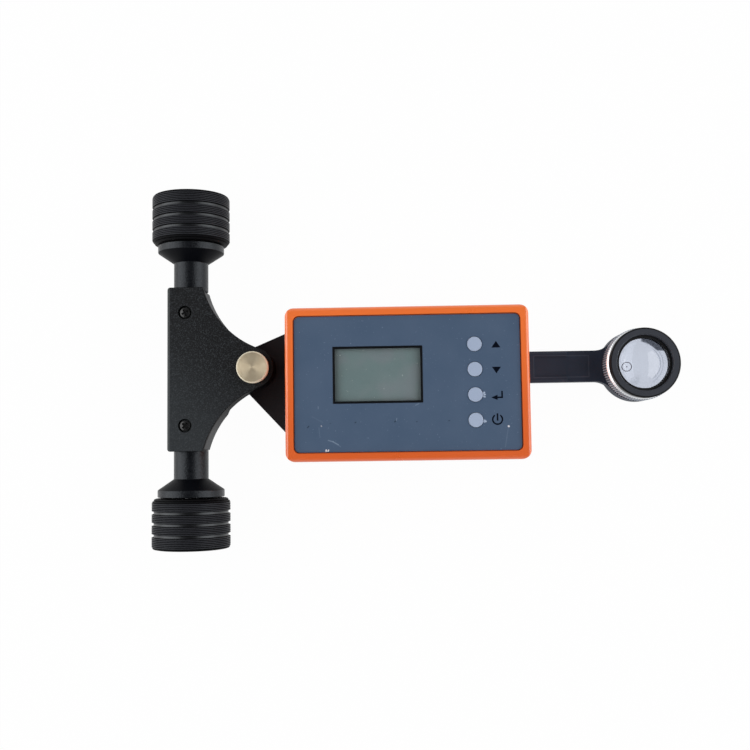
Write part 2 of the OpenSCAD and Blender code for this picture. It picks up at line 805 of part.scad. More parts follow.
module base_chassis() {
    rail_l = case_l - 4 * (boss_inset + boss_d / 2);
    rail_y = inner_w / 2 - seat_gap - rail_w / 2;
    color("#242629")
    difference() {
        union() {
            at_case() translate([0, 0, base_z]) plate(case_l, case_w, case_corner_r, base_t);
            at_case() for (s = [-1, 1])
                translate([-rail_l / 2, s * rail_y - rail_w / 2, base_top - eps])
                    cube([rail_l, rail_w, rail_h + eps]);
            at_case() translate([hatch_screw_x, box_y, base_top - eps])
                cylinder(d = small_screw_d + 4, h = rail_h + eps);
        }
        at_wheel() translate([slot_x0, -slot_half_w, base_z - eps])
            cube([slot_x1 - slot_x0, 2 * slot_half_w, far]);
        at_case() {
            translate([hatch_x, box_y, base_z - eps])
                linear_extrude(hatch_ledge_z - base_z + eps)
                    square([hatch_l + 2 * seat_gap, hatch_w + 2 * seat_gap], center = true);
            translate([box_x, box_y, base_z]) linear_extrude(far)
                square([box_inner_l, box_inner_w], center = true);
            translate([hatch_screw_x, box_y, base_z])
                cylinder(d = small_screw_d + 2 * fix_gap, h = base_t + rail_h - 1 + seat_gap);
        }
        at_case_corners() translate([0, 0, base_z - eps]) cylinder(d = screw_d + 2 * screw_gap, h = far);
        translate([0, 0, base_top]) {
            at_tongue_screws() screw_hole(screw_d, screw_bite, fix_gap);
            at_arm_screws() screw_hole(screw_d, screw_bite, fix_gap);
            at_yoke_screws() screw_hole(small_screw_d, screw_bite, fix_gap);
            at_box_lugs() screw_hole(small_screw_d, screw_bite, fix_gap);
        }
    }
}

module upper_case() {
    color("#e8703a")
    difference() {
        union() {
            difference() {
                at_case() translate([0, 0, base_top])
                    soft_block(case_l, case_w, case_top - base_top, case_corner_r, case_edge_r);
                at_case() translate([0, 0, base_top - eps])
                    plate(inner_l, inner_w, case_corner_r - case_wall, ceiling_z - base_top + eps);
            }
            at_case_corners() translate([0, 0, base_top]) cylinder(d = boss_d, h = pocket_z - base_top);
            at_board_corners() translate([0, 0, board_top]) cylinder(d = post_d, h = pocket_z - board_top);
        }
        at_case() translate([0, 0, pocket_z]) plate(case_l - 2 * rim_w, case_w - 2 * rim_w, panel_corner_r, far);
        at_display() translate([0, 0, ceiling_z - eps])
            linear_extrude(far) square([display_l + 2 * seat_gap, display_w + 2 * seat_gap], center = true);
        at_case() for (y = button_ys)
            translate([button_x, y, ceiling_z - eps]) cylinder(d = button_d + 2 * key_gap, h = far);
        at_case_corners() translate([0, 0, base_top - eps])
            cylinder(d = screw_d + 2 * fix_gap, h = 4 * screw_d);
        at_board_corners() translate([0, 0, board_top - eps])
            cylinder(d = small_screw_d + 2 * fix_gap, h = board_drop);
        translate([case_x0 - eps, tongue_y - tongue_w / 2 - seat_gap, base_top - eps])
            cube([2 * case_wall, tongue_w + 2 * seat_gap, tongue_t + seat_gap]);
        translate([case_x1 - 2 * case_wall, -arm_tongue_w / 2 - seat_gap, base_top - eps])
            cube([2 * case_wall + eps, arm_tongue_w + 2 * seat_gap, arm_top - base_top + seat_gap]);
    }
}

module case_screws() {
    color("#8f9296")
    at_case_corners() translate([0, 0, base_z]) mirror([0, 0, 1]) large_screw(base_t + 3 * screw_d);
}

module display_panel() {
    color("#4c5f78")
    difference() {
        at_case() translate([0, 0, pocket_z])
            plate(case_l - 2 * (rim_w + panel_gap), case_w - 2 * (rim_w + panel_gap),
                  panel_corner_r - panel_gap, panel_t);
        at_display() translate([0, 0, pocket_z - eps])
            linear_extrude(far) square([display_l + seat_gap, display_w + seat_gap], center = true);
        at_case() for (y = button_ys)
            translate([button_x, y, pocket_z - eps]) cylinder(d = button_d + 2 * key_gap, h = far);
    }
}

module display_bezel() {
    color("#0d0e10")
    at_display() difference() {
        translate([0, 0, ceiling_z])
            linear_extrude(panel_top + bezel_proud - ceiling_z) square([display_l, display_w], center = true);
        translate([0, 0, ceiling_z - eps]) {
            linear_extrude(far) square([window_l, window_w], center = true);
            linear_extrude(window_top - ceiling_z + eps)
                square([window_l + 2 * window_margin, window_w + 2 * window_margin], center = true);
        }
    }
}

module display_window() {
    color([0.85, 0.9, 0.92, 0.35])
    at_display() translate([0, 0, window_top - window_t])
        linear_extrude(window_t)
            square([window_l + window_margin, window_w + window_margin], center = true);
}

module lcd_module() {
    carrier_l = display_l + 2 * carrier_margin;
    carrier_w = display_w + 2 * carrier_margin;
    carrier_top = carrier_z + carrier_t;
    color("#68786f")
    at_display() {
        translate([0, 0, carrier_top - eps])
            linear_extrude(glass_top - carrier_top + eps)
                square([window_l + window_margin, window_w + window_margin], center = true);
        translate([0, 0, carrier_z])
            linear_extrude(carrier_t) square([carrier_l, carrier_w], center = true);
        for (s = [-1, 1])
            translate([0, s * (carrier_w - header_w) / 2, board_top])
                linear_extrude(carrier_z - board_top + eps)
                    square([display_l, header_w], center = true);
    }
}

module main_board() {
    color("#1f6b3a")
    difference() {
        at_case() translate([0, 0, board_z])
            linear_extrude(board_t) square([board_l, board_w], center = true);
        at_board_corners() translate([0, 0, board_z - eps])
            cylinder(d = small_screw_d + 2 * screw_gap, h = board_t + 2 * eps);
    }
}

module processor_chip() {
    color("#17181a")
    at_case() translate([0, 0, board_z - chip_t])
        linear_extrude(chip_t) square([chip_side, chip_side], center = true);
}

module key_switches() {
    color("#3a3c40")
    at_case() for (y = button_ys)
        translate([button_x, y, board_top]) difference() {
            linear_extrude(switch_h) square([switch_side, switch_side], center = true);
            translate([0, 0, stem_z - board_top - button_travel - seat_gap])
                cylinder(d = button_stem_d + 4 * key_gap, h = far);
        }
}

module board_screws() {
    color("#8f9296")
    translate([0, 0, board_z]) at_board_corners() mirror([0, 0, 1]) small_screw(board_t + board_drop - 1);
}

module battery_box() {
    color("#1b1c1e")
    difference() {
        union() {
            at_case() translate([box_x, box_y, base_top])
                linear_extrude(box_h) square([box_l, box_w], center = true);
            at_box_lugs() translate([0, 0, base_top]) cylinder(r = lug_r, h = yoke_t);
        }
        at_case() translate([box_x, box_y, base_top - eps])
            linear_extrude(box_h - box_wall + eps) square([box_inner_l, box_inner_w], center = true);
        at_box_lugs() translate([0, 0, base_top - eps])
            cylinder(d = small_screw_d + 2 * screw_gap, h = yoke_t + 2 * eps);
        at_box_lugs() translate([0, 0, base_top + yoke_t])
            cylinder(d = small_head_d + 2 * screw_gap, h = far);
    }
}

module battery_box_screws() {
    color("#8f9296")
    translate([0, 0, base_top + yoke_t]) at_box_lugs() small_screw(yoke_t + screw_bite);
}

module battery_cells() {
    pitch = cell_d + seat_gap;
    color("#b9862f")
    at_case() for (i = [0 : cell_count - 1])
        translate([box_x, box_y + (i - (cell_count - 1) / 2) * pitch, base_top + box_h - box_wall - seat_gap - cell_d / 2])
            rotate([0, 90, 0]) cylinder(d = cell_d, h = cell_l, center = true);
}

module battery_contacts() {
    plate_w = box_inner_w - 2 * seat_gap;
    nub_l = contact_room - contact_t - seat_gap;
    color("#d5d7d9")
    at_case() for (s = [-1, 1])
        translate([box_x, box_y, base_top + box_h - box_wall - seat_gap - cell_d / 2]) {
            translate([s * (box_inner_l - contact_t) / 2, 0, 0])
                cube([contact_t, plate_w, cell_d - 2], center = true);
            for (i = [0 : cell_count - 1])
                translate([s * (box_inner_l / 2 - contact_t - nub_l / 2),
                           (i - (cell_count - 1) / 2) * (cell_d + seat_gap), 0])
                    rotate([0, 90, 0]) cylinder(d = cell_d / 3, h = nub_l + 2 * eps, center = true);
        }
}

module battery_cover() {
    color("#242629")
    at_case() translate([hatch_x, box_y, base_z]) difference() {
        linear_extrude(hatch_t) square([hatch_l, hatch_w], center = true);
        translate([hatch_screw_x - hatch_x, 0, -eps])
            cylinder(d = small_screw_d + 2 * screw_gap, h = hatch_t + 2 * eps);
    }
}

module battery_cover_screw() {
    color("#8f9296")
    at_case() translate([hatch_screw_x, box_y, base_z]) mirror([0, 0, 1]) small_screw(base_t + rail_h - 1);
}

module wheel_yoke() {
    color("#6c7075")
    at_wheel() difference() {
        union() {
            translate([0, 0, base_top]) linear_extrude(yoke_t) square([yoke_l, yoke_w], center = true);
            for (s = [-1, 1])
                translate([s * (ear_x + ear_t / 2) - ear_t / 2, -ear_w / 2, base_top])
                    cube([ear_t, ear_w, bar_z + yoke_t - base_top]);
            translate([-yoke_l / 2, -ear_w / 2, bar_z]) cube([yoke_l, ear_w, yoke_t]);
        }
        translate([slot_x0, -slot_half_w, base_top - eps])
            cube([slot_x1 - slot_x0, 2 * slot_half_w, yoke_t + 2 * eps]);
        translate([0, 0, wheel_z]) rotate([0, 90, 0])
            cylinder(d = wheel_bearing_d + 2 * fix_gap, h = yoke_l + 2 * eps, center = true);
        for (x = [-1, 1], y = [-1, 1])
            translate([x * yoke_screw_x, y * yoke_screw_y, base_top - eps])
                cylinder(d = small_screw_d + 2 * screw_gap, h = yoke_t + 2 * eps);
    }
}

module yoke_screws() {
    color("#8f9296")
    translate([0, 0, base_top + yoke_t]) at_yoke_screws() small_screw(yoke_t + screw_bite);
}

module wheel_bearings() {
    color("#c4c6c8")
    at_wheel() for (m = [0, 1])
        mirror([m, 0, 0]) translate([ear_x + (ear_t - wheel_bearing_w) / 2, 0, wheel_z]) rotate([0, 90, 0])
            ring(wheel_bearing_d / 2, wheel_axle_d / 2 + run_gap, wheel_bearing_w);
}

module encoder_sensor() {
    disc_top = wheel_z + disc_d / 2;
    color("#141517")
    at_wheel() difference() {
        translate([disc_x - sensor_l / 2, -sensor_w / 2, disc_top - sensor_reach])
            cube([sensor_l, sensor_w, bar_z - disc_top + sensor_reach]);
        translate([disc_x - sensor_slot / 2, -sensor_w / 2 - eps, disc_top - sensor_reach - eps])
            cube([sensor_slot, sensor_w + 2 * eps, sensor_reach + wheel_gap + eps]);
        translate([0, 0, wheel_z]) rotate([0, 90, 0])
            cylinder(d = wheel_d + 2 * wheel_gap, h = wheel_t + 2 * wheel_gap, center = true);
    }
}

module swivel_bracket() {
    wall_x = case_gap - seat_gap;
    upper = [wall_x, tongue_y + tongue_w / 2 + tongue_shoulder];
    lower = [wall_x, tongue_y - tongue_w / 2 - tongue_shoulder];
    color("#222428")
    difference() {
        union() {
            translate([pivot_x, 0, base_top]) {
                cylinder(r = hub_r, h = bracket_t);
                linear_extrude(bracket_t) polygon([
                    tangent_point(upper, hub_r - blend_bite, 1), upper,
                    lower, tangent_point(lower, hub_r - blend_bite, -1)
                ]);
            }
            translate([case_x0 - 2 * seat_gap, tongue_y - tongue_w / 2, base_top])
                cube([tongue_l + 2 * seat_gap, tongue_w, tongue_t]);
        }
        translate([pivot_x, 0, base_top - eps]) cylinder(d = pin_d + 2 * fix_gap, h = bracket_t + 2 * eps);
        translate([0, 0, base_top - eps]) at_tongue_screws()
            cylinder(d = screw_d + 2 * screw_gap, h = tongue_t + 2 * eps);
    }
}

module bracket_screws() {
    color("#8f9296")
    translate([0, 0, base_top + tongue_t]) at_tongue_screws() large_screw(tongue_t + screw_bite);
}

module pivot_pin() {
    color("#c8cacc")
    translate([pivot_x, 0, 0]) {
        translate([0, 0, base_top - pin_head_t]) cylinder(d = pin_head_d, h = pin_head_t);
        translate([0, 0, base_top - eps]) cylinder(d = pin_d, h = knob_z1 - knob_roof - base_top);
    }
}

module pivot_knob() {
    r = knob_d / 2;
    bore_r = pin_d / 2 + run_gap;
    color("#c8b48f")
    translate([pivot_x, 0, knob_z0]) rotate_extrude() polygon([
        [bore_r, 0], [r - knob_chamfer, 0], [r, knob_chamfer], [r, knob_h - knob_chamfer],
        [r - knob_chamfer, knob_h], [0, knob_h], [0, knob_h - knob_roof + run_gap],
        [bore_r, knob_h - knob_roof + run_gap]
    ]);
}

module measuring_wheel() {
    r = wheel_d / 2;
    color("#b9bcc0")
    at_wheel() translate([0, 0, wheel_z]) rotate([0, 90, 0]) rotate_extrude() polygon([
        [wheel_axle_d / 2 + fix_gap, -wheel_t / 2], [r - wheel_bevel, -wheel_t / 2], [r, -wheel_rim / 2],
        [r, wheel_rim / 2], [r - wheel_bevel, wheel_t / 2], [wheel_axle_d / 2 + fix_gap, wheel_t / 2]
    ]);
}

module wheel_axle() {
    color("#c8cacc")
    at_wheel() translate([0, 0, wheel_z]) rotate([0, 90, 0])
        cylinder(d = wheel_axle_d, h = 2 * (ear_x + ear_t), center = true);
}

module encoder_disc() {
    boss_l = disc_x - disc_t / 2 - wheel_t / 2 - wheel_gap;
    color("#3c4a52")
    at_wheel() translate([disc_x - disc_t / 2, 0, wheel_z]) rotate([0, 90, 0]) {
        ring(disc_d / 2, wheel_axle_d / 2 + fix_gap, disc_t);
        translate([0, 0, -boss_l]) ring(wheel_axle_d, wheel_axle_d / 2 + fix_gap, boss_l + eps);
    }
}

module tracer_arm() {
    arm_end = lens_x - foot_r + collar_wall;
    fillet_y = arm_w / 2 + arm_fillet_r;
    fillet_x = -sqrt(pow(foot_r + arm_fillet_r - blend_bite, 2) - fillet_y * fillet_y);
    touch = [fillet_x, fillet_y] * foot_r / (foot_r + arm_fillet_r);
    seat_r = reticle_r + seat_gap;
    color("#23252a")
    difference() {
        union() {
            translate([case_x1 + seat_gap, 0, 0]) rotate([90, 0, 90])
                linear_extrude(arm_end - case_x1 - seat_gap) polygon([
                    [-arm_w / 2, arm_z], [arm_w / 2, arm_z], [arm_w / 2, arm_top - arm_chamfer],
                    [arm_w / 2 - arm_chamfer, arm_top], [arm_chamfer - arm_w / 2, arm_top],
                    [-arm_w / 2, arm_top - arm_chamfer]
                ]);
            translate([case_x1 - arm_tongue_l, -arm_tongue_w / 2, base_top])
                cube([arm_tongue_l + 2 * seat_gap, arm_tongue_w, arm_top - base_top]);
            translate([lens_x, 0, arm_z]) linear_extrude(foot_h - arm_z) difference() {
                polygon([
                    [fillet_x, arm_w / 2], touch, [0, 0], [touch.x, -touch.y], [fillet_x, -arm_w / 2]
                ]);
                for (s = [-1, 1]) translate([fillet_x, s * fillet_y]) circle(arm_fillet_r);
            }
            translate([lens_x, 0, 0]) {
                cylinder(r = foot_r, h = foot_h);
                cylinder(r = collar_r1, h = collar_z1);
            }
        }
        translate([lens_x, 0, -eps]) {
            cylinder(r = reticle_r - reticle_seat, h = far);
            translate([0, 0, foot_ledge + eps]) cylinder(r = seat_r, h = far);
            translate([0, 0, foot_ledge + reticle_t + seat_gap + eps]) cylinder(r = collar_r0, h = far);
            translate([0, 0, foot_h + eps]) ring(2 * foot_r, collar_r1, far);
        }
        translate([case_x1 + arm_recess_start, -arm_recess_w / 2, arm_top - arm_recess_depth])
            cube([arm_recess_l, arm_recess_w, far]);
        translate([0, 0, base_top - eps]) at_arm_screws()
            cylinder(d = screw_d + 2 * screw_gap, h = far);
    }
}

module arm_screws() {
    color("#8f9296")
    translate([0, 0, arm_top]) at_arm_screws() large_screw(arm_top - base_top + screw_bite);
}

module reticle_disc() {
    color([0.85, 0.9, 0.95, 0.35])
    translate([lens_x, 0, foot_ledge]) cylinder(r = reticle_r, h = reticle_t);
}

module button(index) {
    r = button_d / 2;
    flange_z = flange_top - button_flange_t;
    color("#a4b2cc")
    at_case() translate([button_x, button_ys[index], 0]) {
        translate([0, 0, flange_top - eps]) cylinder(r = r, h = panel_top + button_proud - flange_top + eps);
        translate([0, 0, flange_z]) cylinder(r = r + button_flange, h = button_flange_t);
        translate([0, 0, stem_z]) cylinder(d = button_stem_d, h = flange_z - stem_z + eps);
    }
}

module button_up() {
    button(0);
}

module button_down() {
    button(1);
}

module button_enter() {
    button(2);
}

module button_power() {
    button(3);
}

module focus_ring() {
    step = 360 / knurl_teeth;
    knurl = [for (i = [0 : knurl_teeth - 1], k = [0, 1])
        (focus_r - k * knurl_depth) * [cos((i + k / 2) * step), sin((i + k / 2) * step)]];
    color("#c9ccd1")
    translate([lens_x, 0, focus_z0]) difference() {
        union() {
            linear_extrude(knurl_h) polygon(knurl);
            cylinder(r = focus_r - knurl_depth - band_inset, h = knurl_h + band_h);
        }
        translate([0, 0, -eps]) cylinder(r = focus_bore_r, h = far);
    }
}

module lens_cell() {
    ledge_r = lens_r - lens_ledge;
    color("#2a2c31")
    translate([lens_x, 0, 0]) rotate_extrude() polygon([
        [ledge_r, lens_z - tube_below_lens], [tube_r, lens_z - tube_below_lens], [tube_r, bezel_z0],
        [bezel_r, bezel_z0], [bezel_r, bezel_z1 - bezel_chamfer], [bezel_r - bezel_chamfer, bezel_z1],
        [opening_r + bezel_chamfer, bezel_z1], [opening_r, bezel_z1 - bezel_chamfer],
        [opening_r, lens_z], [ledge_r, lens_z]
    ]);
}

module magnifier_lens() {
    color([0.88, 0.92, 0.96, 0.3])
    translate([lens_x, 0, lens_z]) intersection() {
        cylinder(r = lens_r, h = far);
        translate([0, 0, lens_apex_z - lens_z - lens_curve_r]) sphere(lens_curve_r);
    }
}

module lens_retainer() {
    color("#16171a")
    translate([lens_x, 0, retainer_z0])
        ring(lens_r, retainer_r, bezel_z1 - retainer_drop - retainer_z0);
}

carriage_frame();
carriage_cover();
cover_screws();
pivot_bush();
thrust_washer();
left_sleeve();
right_sleeve();
axle_bearings();
roller_shaft();
left_roller();
right_roller();
roller_washers();
roller_screws();
base_chassis();
upper_case();
case_screws();
display_panel();
display_bezel();
display_window();
lcd_module();
main_board();
processor_chip();
key_switches();
board_screws();
battery_box();
battery_box_screws();
battery_cells();
battery_contacts();
battery_cover();
battery_cover_screw();
wheel_yoke();
yoke_screws();
wheel_bearings();
encoder_sensor();
swivel_bracket();
bracket_screws();
pivot_pin();
pivot_knob();
tracer_arm();
arm_screws();
reticle_disc();
measuring_wheel();
wheel_axle();
encoder_disc();
button_up();
button_down();
button_enter();
button_power();
focus_ring();
lens_cell();
magnifier_lens();
lens_retainer();
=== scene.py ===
import json
import math
import bmesh
import bpy
from mathutils import Matrix, Vector

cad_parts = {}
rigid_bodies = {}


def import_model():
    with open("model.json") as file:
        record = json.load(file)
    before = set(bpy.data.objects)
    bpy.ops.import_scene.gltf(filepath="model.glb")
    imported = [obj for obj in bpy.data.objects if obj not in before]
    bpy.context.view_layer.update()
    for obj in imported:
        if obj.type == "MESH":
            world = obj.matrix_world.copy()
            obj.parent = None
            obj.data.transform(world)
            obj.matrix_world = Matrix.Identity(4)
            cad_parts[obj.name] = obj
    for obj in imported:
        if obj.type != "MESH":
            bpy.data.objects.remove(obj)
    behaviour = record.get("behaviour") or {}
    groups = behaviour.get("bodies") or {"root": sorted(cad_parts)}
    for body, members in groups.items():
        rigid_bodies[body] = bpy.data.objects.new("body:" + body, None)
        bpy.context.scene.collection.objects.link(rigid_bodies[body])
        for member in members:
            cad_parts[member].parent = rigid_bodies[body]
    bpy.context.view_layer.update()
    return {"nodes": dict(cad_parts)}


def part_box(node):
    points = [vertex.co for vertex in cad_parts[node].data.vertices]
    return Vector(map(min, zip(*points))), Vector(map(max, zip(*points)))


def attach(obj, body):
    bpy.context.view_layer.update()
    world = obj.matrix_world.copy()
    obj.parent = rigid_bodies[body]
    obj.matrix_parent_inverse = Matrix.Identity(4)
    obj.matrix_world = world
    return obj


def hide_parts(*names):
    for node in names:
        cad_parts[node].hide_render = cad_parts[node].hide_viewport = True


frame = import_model()
nodes = frame["nodes"]
mm = 0.001
scene = bpy.context.scene
scene.view_settings.view_transform = "Standard"


def tone(red, green, blue):  # screen colour, 0 to 255, as linear light
    parts = []
    for part in (red / 255, green / 255, blue / 255):
        parts.append(part / 12.92 if part <= 0.04045 else ((part + 0.055) / 1.055) ** 2.4)
    return (*parts, 1)


def middle(name):
    low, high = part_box(name)
    return (low + high) / 2


def foot(name):
    spot = middle(name)
    spot.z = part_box(name)[0].z
    return spot


class Wire:  # one socket, so that shader and shape maths reads as plain sums
    def __init__(self, sheet, socket):
        self.sheet = sheet
        self.socket = socket

    def calc(self, operation, first, second=0.0):
        return self.sheet.add("ShaderNodeMath", {"operation": operation}, {0: first, 1: second})

    def __add__(self, other):
        return self.calc("ADD", self, other)

    def __radd__(self, other):
        return self.calc("ADD", other, self)

    def __sub__(self, other):
        return self.calc("SUBTRACT", self, other)

    def __rsub__(self, other):
        return self.calc("SUBTRACT", other, self)

    def __mul__(self, other):
        return self.calc("MULTIPLY", self, other)

    def __rmul__(self, other):
        return self.calc("MULTIPLY", other, self)

    def __truediv__(self, other):
        return self.calc("DIVIDE", self, other)

    def __mod__(self, other):
        return self.calc("FLOORED_MODULO", self, other)

    def __lt__(self, other):
        return self.calc("LESS_THAN", self, other)

    def __gt__(self, other):
        return self.calc("GREATER_THAN", self, other)

    def least(self, other):
        return self.calc("MINIMUM", self, other)

    def most(self, other):
        return self.calc("MAXIMUM", self, other)

    def within(self, low, high):
        return self.most(low).least(high)

    def floor(self):
        return self.calc("FLOOR", self)

    def size(self):
        return self.calc("ABSOLUTE", self)

    def root(self):
        return self.calc("SQRT", self)

    def reach(self, other):  # length of two sides at right angles
        return (self * self + other * other).root()

    def sine(self):
        return self.calc("SINE", self)

    def cosine(self):
        return self.calc("COSINE", self)


class Sheet:  # a node tree that grows one node at a time
    def __init__(self, tree):
        self.tree = tree

    def add(self, kind, settings=None, sockets=None, out=0):
        node = self.tree.nodes.new(kind)
        for name, value in (settings or {}).items():
            setattr(node, name, value)
        for key, value in (sockets or {}).items():
            for part in value if isinstance(value, list) else [value]:
                if isinstance(part, Wire):
                    self.tree.links.new(part.socket, node.inputs[key])
                else:
                    node.inputs[key].default_value = part
        return Wire(self, node.outputs[out]) if node.outputs else None

    def split(self, vector):
        first = self.add("ShaderNodeSeparateXYZ", None, {0: vector})
        return [Wire(self, socket) for socket in first.socket.node.outputs]

    def join(self, x, y, z):
        return self.add("ShaderNodeCombineXYZ", None, {0: x, 1: y, 2: z})

    def place(self, centre=(0, 0, 0), scale=(1, 1, 1)):
        coords = self.add("ShaderNodeTexCoord", None, None, "Object")
        shift = tuple(-c * s for c, s in zip(centre, scale))
        return self.add("ShaderNodeMapping", None, {"Vector": coords, "Location": shift, "Scale": scale})

    def noise(self, place, scale, detail=2.0, rough=0.5):
        values = {"Vector": place, "Scale": scale, "Detail": detail, "Roughness": rough}
        return self.add("ShaderNodeTexNoise", None, values)

    def grain(self, place, size, detail=2.0, rough=0.5):  # bumps about one size across
        return self.noise(place, 1 / size, detail, rough)

    def smooth(self, value, low, high):
        settings = {"interpolation_type": "SMOOTHSTEP"}
        return self.add("ShaderNodeMapRange", settings, {0: value, 1: low, 2: high})

    def mix(self, share, first, second):
        return self.add("ShaderNodeMix", {"data_type": "RGBA"}, {0: share, 6: first, 7: second}, 2)

    def bump(self, height, depth):
        return self.add("ShaderNodeBump", None, {"Height": height, "Distance": depth})

    def coat(self, sockets):
        return self.add("ShaderNodeBsdfPrincipled", None, sockets)

    def surface(self, sockets):
        self.add("ShaderNodeOutputMaterial", None, {"Surface": self.coat(sockets)})

    def blend(self, share, first, second):
        mixed = self.add("ShaderNodeMixShader", None, {0: share, 1: first, 2: second})
        self.add("ShaderNodeOutputMaterial", None, {"Surface": mixed})


def newFinish(name):
    material = bpy.data.materials.new(name)
    material.use_nodes = True
    material.node_tree.nodes.clear()
    return material, Sheet(material.node_tree)


def mouldedPlastic(name, light, dark, rough, shine, grainSize, grainDepth):
    material, sheet = newFinish(name)
    place = sheet.place()
    cloud = sheet.noise(place, 60, 3)
    grain = sheet.grain(place, grainSize)
    sheet.surface({
        "Base Color": sheet.mix(cloud, dark, light),
        "Roughness": rough + 0.12 * (cloud - 0.5),
        "Specular IOR Level": shine,
        "Normal": sheet.bump(grain, grainDepth),
    })
    return material


def shellPlastic(front, back):  # painted light: the orange is a little darker at the front and lighter towards the back
    material, sheet = newFinish("orange_shell")
    place = sheet.place()
    y = sheet.split(place)[1]
    cloud = sheet.noise(place, 60, 3)
    # painted light: darker at the front, lighter at the back
    colour = sheet.mix(sheet.smooth(y, front, back), tone(226, 96, 31), tone(248, 119, 47))
    sheet.surface({
        "Base Color": sheet.mix(cloud * 0.3, colour, tone(236, 109, 43)),
        "Roughness": 0.3 + 0.12 * (cloud - 0.5),
        "Specular IOR Level": 1.0,
        "Normal": sheet.bump(sheet.grain(place, 0.6 * mm), 0.002 * mm),
    })
    return material


paintSpeck = tone(66, 71, 75)


def sprayed(sheet, place, grainSize):  # fine bumps of a sprayed coat, and the pale specks among them
    grain = sheet.grain(place, grainSize, 3, 0.6)
    speck = sheet.smooth(sheet.noise(place, 0.9 / grainSize, 1), 0.5, 0.68)
    return grain, speck


def twoShines(sheet, share, shines, sockets):  # one paint that goes from the first shine to the second
    first, second = [sheet.coat({**sockets, "Specular IOR Level": shine}) for shine in shines]
    sheet.blend(share, first, second)


coverPaintedLight = {  # painted light on the cover; each pair is where a change starts and ends
    "slope": 0.8, "paintedLightSweep": (-32 * mm, 28 * mm), "highlightAt": 0.5 * mm, "highlightRun": (0.35 * mm, 0.75 * mm),
    "shadeRun": 6 * mm, "levelFace": (0.75, 0.98),
}


def coverCoat(edgeX, shadeX):  # painted light: a highlight on the front edge, shade on the other edges, a shadow beyond the knob, and a sweep from lit near the front edge to dark towards the knob
    material, sheet = newFinish("cover_powder_coat")
    place = sheet.place()
    x, y = sheet.split(place)[:2]
    grain, speck = sprayed(sheet, place, 0.4 * mm)
    # painted light: the top goes from lit near the front edge to dark towards the knob
    paintedLightSweep = sheet.smooth((x - edgeX) * -coverPaintedLight["slope"] - y, *coverPaintedLight["paintedLightSweep"])
    # painted highlight along the front edge
    edgeHighlight = 1 - sheet.smooth((x - edgeX - coverPaintedLight["highlightAt"]).size(), *coverPaintedLight["highlightRun"])
    # painted shadow beyond the knob
    shade = sheet.smooth(x, shadeX, shadeX + coverPaintedLight["shadeRun"])
    # painted shade on faces that turn away from up, except at the front edge
    upward = sheet.split(sheet.add("ShaderNodeNewGeometry", None, None, "Normal"))[2]
    edge = (1 - sheet.smooth(upward, *coverPaintedLight["levelFace"])) * (1 - edgeHighlight)
    colour = sheet.mix(paintedLightSweep, tone(6, 7, 10), tone(38, 42, 45))
    colour = sheet.mix(speck * 0.5, colour, paintSpeck)
    colour = sheet.mix(shade * 0.85, colour, tone(9, 9, 11))
    colour = sheet.mix(edge, colour, tone(2, 2, 3))
    twoShines(sheet, edge, (0.25, 0.02), {
        "Base Color": sheet.mix(edgeHighlight * 0.55, colour, tone(92, 96, 96)),
        "Roughness": 0.5 + 0.1 * (grain - 0.5),
        "Normal": sheet.bump(grain, 0.05 * mm),
    })
    return material


def frameCoat():  # side walls dull near the pivot and satin towards the axle
    satinRun = (12 * mm, 31 * mm)
    material, sheet = newFinish("frame_powder_coat")
    place = sheet.place()
    y = sheet.split(place)[1]
    grain = sheet.grain(place, 0.4 * mm, 3, 0.6)
    far = sheet.smooth(y.size(), *satinRun)
    twoShines(sheet, far, (0.01, 0.2), {
        "Base Color": sheet.mix(sheet.noise(place, 90, 2), tone(16, 18, 23), tone(24, 27, 32)),
        "Roughness": 0.5 + 0.1 * (grain - 0.5),
        "Specular Tint": (0.92, 0.96, 1, 1),
        "Normal": sheet.bump(grain, 0.03 * mm),
    })
    return material


def bracketCoat():
    material, sheet = newFinish("bracket_paint")
    place = sheet.place()
    grain, speck = sprayed(sheet, place, 0.5 * mm)
    colour = sheet.mix(sheet.noise(place, 90, 2), tone(32, 34, 37), tone(40, 42, 46))
    sheet.surface({
        "Base Color": sheet.mix(speck * 0.1, colour, paintSpeck),
        "Roughness": 0.5 + 0.1 * (grain - 0.5),
        "Specular IOR Level": 0.12,
        "Normal": sheet.bump(grain, 0.012 * mm),
    })
    return material


def armCoat(caseEnd, field):  # the edges of the sunk field carry a painted highlight
    material, sheet = newFinish("arm_paint")
    place = sheet.place((caseEnd + field["fromCase"], 0, 0))
    x, y = sheet.split(place)[:2]
    grain, speck = sprayed(sheet, place, 0.5 * mm)
    cloud = sheet.noise(place, 90, 2)
    beyond = (x.size() - field["length"] / 2).most(y.size() - field["width"] / 2)
    # painted highlight along the rim of the sunk field
    edgeHighlight = 1 - sheet.smooth((beyond - field["highlightAt"]).size(), *field["highlightRun"])
    colour = sheet.mix(cloud, tone(46, 54, 67), tone(55, 64, 80))
    colour = sheet.mix(speck * 0.1, colour, paintSpeck)
    sheet.surface({
        "Base Color": sheet.mix(edgeHighlight * (0.14 + 0.36 * cloud), colour, tone(92, 101, 116)),
        "Roughness": 0.5 + 0.1 * (grain - 0.5),
        "Specular IOR Level": 0.08,
        "Normal": sheet.bump(grain, 0.012 * mm),
    })
    return material


def anodised(name, light, dark, rough, shine, grainSize, grainDepth):
    material, sheet = newFinish(name)
    place = sheet.place()
    grain = sheet.grain(place, grainSize)
    cloud = sheet.noise(place, 140, 3)
    sheet.surface({
        "Base Color": sheet.mix(cloud, dark, light),
        "Roughness": rough + 0.16 * (grain - 0.5),
        "Specular IOR Level": shine,
        "Normal": sheet.bump(grain, grainDepth),
    })
    return material


